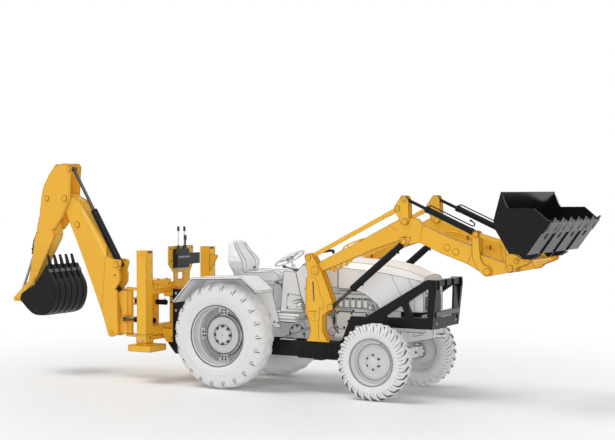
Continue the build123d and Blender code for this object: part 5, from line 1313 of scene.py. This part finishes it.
# Stabilisers
# Inner tubes slide down out of the leg tubes on hydraulic rams and end in wide flat feet on swivel
# pins.
dress(yellow_paint, "stabiliser_right", "stabiliser_left")
for word, side in (("right", -1), ("left", 1)):
    foot = Shape()
    foot.slab([(-1.385, side * 0.545), (-1.035, side * 0.545), (-1.035, side * 0.895),
               (-1.385, side * 0.895)], 0.498, 0.5015, yellow_paint)
    for x in (-1.285, -1.135):
        foot.plate([(x - 0.01, 0.499), (x + 0.01, 0.499), (x + 0.01, 0.52), (x - 0.01, 0.52)],
                   side * 0.66, side * 0.88, yellow_paint)
    foot.done("foot_trim_" + word, "stabiliser_" + word, "yellow")
    crease_shade_lines("foot_lines_" + word, "stabiliser_" + word, "stabiliser_" + word)

# Side-shift carriage
# A thick yellow plate clamped behind both beams, hooked over the upper one, with two lugs for the
# swing pin.
dress(yellow_paint, "carriage")
slide = Shape()
for side in (-1, 1):
    y = HOE_Y + side * 0.15
    for z in (0.66, 0.80, 1.12, 1.26):
        slide.bolt((-1.40, y, z), (-1, 0, 0), 0.036, zinc)
    slide.bolt((-1.35, HOE_Y + side * 0.18, 1.335), (0, side, 0), 0.024, brown_and_crease_shade)
    slide.bolt((-1.35, HOE_Y + side * 0.18, 0.585), (0, side, 0), 0.024, brown_and_crease_shade)
    slide.bolt((-1.112, HOE_Y + side * 0.10, 1.36), (0, 0, 1), 0.026, brown_and_crease_shade)
    slide.turned((-1.1, HOE_Y + side * 0.13, 1.30), (0, HOE_Y + side * 0.13, 1.30),
                 [(0, 0.012), (0.002, 0.012)], brown_and_crease_shade, 14)
for z, way in ((1.232, 1), (0.573, -1)):
    slide.turned((-1.65, HOE_Y, z), (-1.65, HOE_Y, z + way),
                 [(-0.001, 0.056), (0.004, 0.056), (0.006, 0.05), (0.006, 0.034), (0, 0.034)],
                 yellow_paint, 32, closed=True)
slide.done("carriage_trim", "carriage", "yellow")
crease_shade_lines("carriage_lines", "carriage", "carriage", 0.0014)

# Swing rams
# Two short black barrels lie through the carriage and push on the ears of the swing post.
dress(black_paint, "swing_barrels")
dress(rod_chrome, "swing_rod_right", "swing_rod_left")
SWING_RODS = (("right", -0.135, 0.815), ("left", 0.135, 1.040))
pair = Shape()
for word, dy, z in SWING_RODS:
    y = HOE_Y + dy
    pair.turned((-1.44, y, z), (-2, y, z),
                [(0, 0.0365), (0.002, 0.040), (0.030, 0.040), (0.036, 0.034), (0.036, 0.022)],
                black_paint, 30)
    pair.turned((-1.147, y, z), (0, y, z), [(-0.001, 0.034), (0.006, 0.034), (0.009, 0.028)],
                black_paint, 30)
    pair.rod((-1.17, y, z + 0.034), (-1.17, y, z + 0.052), 0.012, zinc, 14)
    pair.rod((-1.425, y, z + 0.034), (-1.425, y, z + 0.050), 0.012, zinc, 14)
pair.done("swing_barrel_trim", "carriage", "black")

# Swing post
# A welded yellow casting that turns on the carriage's pin, with ears for the swing rams and lugs for
# the boom.
dress(yellow_paint, "swing_post")
post = Shape()
for side in (-1, 1):
    pin_head(post, BOOM_FOOT, HOE_Y + side * 0.118, side, 0.021, yellow_paint)
    pin_head(post, BOOM_C, HOE_Y + side * 0.060, side, 0.026, yellow_paint, 0.005)
    weld(post, [(-1.70, 1.185), (-1.765, 1.17)], HOE_Y + side * 0.0605, brown_and_crease_shade, 0.0016)
for word, dy, z in SWING_RODS:
    for z0 in (z - 0.046, z + 0.046):
        post.turned((-1.65, HOE_Y + dy, z0), (-1.65, HOE_Y + dy, z0 + (1 if z0 > z else -1)),
                    [(-0.001, 0.024), (0.005, 0.024), (0.006, 0.018)], zinc, 20)
post.done("swing_post_trim", "swing_post", "yellow")
crease_shade_lines("swing_post_lines", "swing_post", "swing_post", 0.0014)

# Boom
# Two bent side plates doubled near the foot and closed along the front by a flange, open behind for
# the ram.
dress(yellow_paint, "boom")
yellow_highlight = finish("yellow_highlight", (0.90, 0.56, 0.10), 0.35, coat=0.1)
mast = Shape()
BOOM_SEAM = [(-1.990, 1.800), (-2.200, 2.084), (-2.436, 2.399), (-2.562, 2.462), (-2.620, 2.498)]
for side in (-1, 1):
    face = HOE_Y + side * 0.0885
    weld(mast, BOOM_SEAM, face, brown_and_crease_shade, 0.0022)
    # A strip of lighter yellow along the front edge of each side plate is painted highlight.
    strip = [(-1.957, 1.640), (-2.040, 1.790), (-2.380, 2.318)]
    mast.plate(strip + [(x - 0.020, z - 0.040) for x, z in strip[::-1]], HOE_Y + side * 0.086,
               HOE_Y + side * 0.0925, yellow_highlight)
    weld(mast, [(-1.986, 1.668), (-2.050, 0.910), (-1.960, 0.62)], face, brown_and_crease_shade, 0.002)
    pin_head(mast, BOOM_M, HOE_Y + side * 0.098, side, 0.030, yellow_paint)
    pin_head(mast, DIP_A, HOE_Y + side * 0.114, side, 0.030, yellow_paint)
    mast.ring(BOOM_FOOT, HOE_Y + side * 0.106, side, 0.048, 0.027, 0.007, yellow_paint, 32, 0.001)
    mast.ring(BOOM_M, HOE_Y + side * 0.088, side, 0.041, 0.046, 0.0015, brown_and_crease_shade, 32)
    mast.ring(DIP_A, HOE_Y + side * 0.106, side, 0.043, 0.048, 0.0015, brown_and_crease_shade, 32)
    mast.bolt((-1.83, HOE_Y + side * 0.106, 1.40), (0, side, 0), 0.02, brown_and_crease_shade)
mast.done("boom_trim", "boom", "yellow")
crease_shade_lines("boom_lines", "boom", "boom", 0.0018)

# Boom ram
# A black barrel pinned between the swing post's lugs, whose chromed rod pushes on the boom's middle.
# The rod runs on inside the barrel, so that it's still whole when the boom is lowered.
dress(black_paint, "boom_barrel")
dress(rod_chrome, "boom_rod")
lift_ram = Shape()
ram(lift_ram, BOOM_C, BOOM_M, HOE_Y, 0.95, 0.042, 1, pipe=False)
lift_ram.done("boom_barrel_trim", "boom_barrel", "black")
shaft = Shape()
(x0, z0), (x1, z1) = beside(BOOM_C, BOOM_M, 0.125, 0), beside(BOOM_C, BOOM_M, 0.30, 0)
shaft.rod((x0, HOE_Y, z0), (x1, HOE_Y, z1), 0.0225, rod_chrome, 28)
shaft.done("boom_rod_shaft", "boom_rod", "rod")

# Dipper
# Wide head plates straddle the boom's tip, and a tapering yellow box runs down to the bucket pins.
dress(yellow_paint, "dipper")
stick = Shape()
HEAD_EDGE = [(-2.690, 2.918), (-2.604, 2.908), (-2.590, 2.872), (-2.596, 2.820), (-2.616, 2.460),
             (-2.730, 2.222), (-2.872, 2.036)]
for side in (-1, 1):
    face = HOE_Y + side * 0.1085
    weld(stick, HEAD_EDGE, face, brown_and_crease_shade, 0.0018)
    weld(stick, [(-3.160, 2.18), (-3.205, 1.96)], HOE_Y + side * 0.0945, brown_and_crease_shade, 0.0018)
    weld(stick, [(-2.885, 1.925), (-3.105, 1.532), (-3.252, 1.262)], HOE_Y + side * 0.0805, brown_and_crease_shade,
         0.0018)
    for pin, y, radius in ((ELBOW, 0.117, 0.034), (HOE_B, 0.116, 0.027), (DIP_B, 0.115, 0.026),
                           ((-3.270, 1.300), 0.102, 0.021)):
        pin_head(stick, pin, HOE_Y + side * y, side, radius, yellow_paint)
    for pin, radius in ((ELBOW, 0.045), (HOE_B, 0.037), (DIP_B, 0.035)):
        stick.ring(pin, HOE_Y + side * 0.108, side, radius, radius + 0.004, 0.0015, brown_and_crease_shade, 32)
    cover = [(-2.880, 2.120, 0.1085), (-3.150, 2.110, 0.1085), (-3.183, 1.985, 0.1098),
             (-3.214, 1.926, 0.1098), (-3.328, 1.425, 0.0835), (-3.163, 1.430, 0.0835),
             (-3.101, 1.541, 0.0870), (-2.900, 1.890, 0.1050), (-2.905, 2.020, 0.1100)]
    stick.skin([[at(x, HOE_Y + side * y, z) for x, z, y in cover],
                [at(x, HOE_Y + side * 0.0795, z) for x, z, _ in cover]], yellow_paint)
    stick.tube([(-2.745, HOE_Y + side * 0.1088, 2.160), (-2.860, HOE_Y + side * 0.1088, 2.017),
                (-2.925, HOE_Y + side * 0.1105, 2.012)], 0.003, brown_and_crease_shade, 0.03, 6)
    round_edge = [(-3.150, 2.127), (-3.118, 2.36), (-3.105, 2.452), (-3.070, 2.593), (-3.045, 2.65),
                  (-3.001, 2.719), (-2.955, 2.777), (-2.904, 2.831), (-2.855, 2.877),
                  (-2.804, 2.909), (-2.76, 2.928), (-2.697, 2.9355)]
    inner_edge = [(-2.70, 2.90), (-2.82, 2.87), (-2.96, 2.71), (-3.04, 2.58), (-3.08, 2.46),
                  (-3.12, 2.14)]
    stick.plate(round_edge + inner_edge, HOE_Y + side * 0.0945, HOE_Y + side * 0.1075, yellow_paint)
stick.done("dipper_trim", "dipper", "yellow")
crease_shade_lines("dipper_lines", "dipper", "dipper")

# Dipper ram
# A black barrel along the top of the boom, whose rod pulls the dipper's head.
dress(black_paint, "dipper_barrel", "hoe_barrel")
rod_bright = finish("rod_bright", (0.36, 0.365, 0.38), 0.16, metal=1.0, mottle=0.01)
dress(rod_chrome, "dipper_rod")
dress(rod_bright, "hoe_rod")
top_ram = Shape()
ram(top_ram, DIP_A, DIP_B, HOE_Y, 0.87, 0.042, -1, pipe=False)
x, z = beside(DIP_A, DIP_B, 0.10, 0)
top_ram.turned((x, HOE_Y, z), (DIP_B[0], HOE_Y, DIP_B[1]),
               [(0, 0.0425), (0.004, 0.0475), (0.755, 0.0475), (0.760, 0.043)], black_paint, 36)
for along in (0.12, 0.79):
    x, z = beside(DIP_A, DIP_B, along, 0)
    top_ram.rod((x, HOE_Y + 0.038, z), (x, HOE_Y + 0.058, z), 0.013, black_paint, 14)
top_ram.done("dipper_barrel_trim", "dipper_barrel", "black")

# Bucket ram
# A black barrel behind the dipper with a steel pipe to its lower port, working the rocker.
curl_ram = Shape()
ram(curl_ram, HOE_B, HOE_J, HOE_Y, 0.86, 0.038, -1, pipe=False)
path = [beside(HOE_B, HOE_J, along, off) for along, off in
        ((0.09, -0.036), (0.09, -0.06), (0.50, -0.06), (0.56, -0.075), (0.70, -0.075), (0.765, -0.066),
         (0.79, -0.036))]
curl_ram.tube([(x, HOE_Y, z) for x, z in path], 0.008, black_paint, 0.03, 10)
x0, z0 = beside(HOE_B, HOE_J, 0.745, -0.03)
x1, z1 = beside(HOE_B, HOE_J, 0.815, -0.045)
curl_ram.rod((x0, HOE_Y, z0), (x1, HOE_Y, z1), 0.024, black_paint, 18)
curl_ram.done("hoe_barrel_trim", "hoe_barrel", "black")

# Rocker and bucket link
# Twin plates swing on the dipper's tail and twin bars pull the bucket, all on greased pins.
dress(yellow_paint, "hoe_rocker", "hoe_link")
rocker, tie = Shape(), Shape()
for side in (-1, 1):
    pin_head(rocker, HOE_J, HOE_Y + side * 0.100, side, 0.022, yellow_paint)
rocker.done("rocker_trim", "hoe_rocker", "yellow")
for side in (-1, 1):
    weld(tie, [(-3.40, 1.012), (-3.395, 0.955)], HOE_Y + side * 0.0545, brown_and_crease_shade, 0.0014)
tie.done("hoe_link_trim", "hoe_link", "yellow")

# Backhoe bucket
# A rolled shell of thick black plate between side plates, with welded ears, wear strips and five long
# teeth.
dress(black_paint, "hoe_bucket")
digger = Shape()
for side in (-1, 1):
    face = HOE_Y + side * 0.3502
    weld(digger, [(-2.757, 1.278), (-2.899, 1.175), (-3.043, 1.072), (-3.151, 0.998)], face, black_paint,
         0.003)
    weld(digger, [(-2.70, 1.11), (-2.74, 0.97), (-2.83, 0.885), (-2.95, 0.872), (-3.05, 0.89),
                  (-3.16, 0.965)], face, black_paint, 0.004)
    pin_head(digger, (-3.340, 1.110), HOE_Y + side * 0.130, side, 0.030, black_paint)
    pin_head(digger, (-3.290, 0.945), HOE_Y + side * 0.130, side, 0.025, black_paint)
    for x, z in ((-2.93, 1.33), (-3.01, 1.235)):
        digger.bolt((x, HOE_Y + side * 0.35, z), (0, side, 0), 0.024, black_paint)
BEND = [(-2.822, 1.527), (-2.752, 1.386), (-2.676, 1.250), (-2.660, 1.120), (-2.690, 0.990),
        (-2.755, 0.884), (-2.850, 0.832), (-2.950, 0.826), (-3.050, 0.840), (-3.167, 0.915),
        (-3.291, 1.035)]


def rounded(points, steps=6):
    # A smooth curve through a few points.
    line = []
    for k in range(len(points) - 1):
        p0, p1, p2, p3 = [points[min(max(k + n, 0), len(points) - 1)] for n in (-1, 0, 1, 2)]
        for step in range(steps):
            t = step / steps
            line.append(tuple(0.5 * (2 * b + (c - a) * t + (2 * a - 5 * b + 4 * c - d) * t * t
                                     + (3 * b - a - 3 * c + d) * t ** 3)
                              for a, b, c, d in zip(p0, p1, p2, p3)))
    return line + [points[-1]]


def swollen(line, by):
    # The same curve moved outwards.
    moved = []
    for k, (x, z) in enumerate(line):
        (xa, za), (xb, zb) = line[max(k - 1, 0)], line[min(k + 1, len(line) - 1)]
        reach = hypot(xb - xa, zb - za)
        moved.append((x + (za - zb) / reach * by, z + (xb - xa) / reach * by))
    return moved


curve = rounded(BEND)
digger.plate(swollen(curve, 0.0035) + swollen(curve, -0.003)[::-1], HOE_Y - 0.3495, HOE_Y + 0.3495,
             black_paint)
for y in (-0.256, -0.128, 0.0, 0.128, 0.256):
    digger.plate(swollen(curve[9:48], 0.0095) + curve[9:48][::-1], HOE_Y + y - 0.005, HOE_Y + y + 0.005,
                 bar_black)
    strap = [(-2.822, 1.527), (-2.752, 1.386), (-2.722, 1.330)]
    digger.plate(swollen(strap, 0.016) + swollen(strap, -0.002)[::-1], HOE_Y + y - 0.015,
                 HOE_Y + y + 0.015, bar_black)
lip_bar = [(-2.788, 1.462), (-2.768, 1.420)]
digger.plate(swollen(lip_bar, 0.012) + swollen(lip_bar, -0.002)[::-1], HOE_Y - 0.349, HOE_Y + 0.349,
             gunmetal)
digger.done("hoe_bucket_trim", "hoe_bucket", "black")
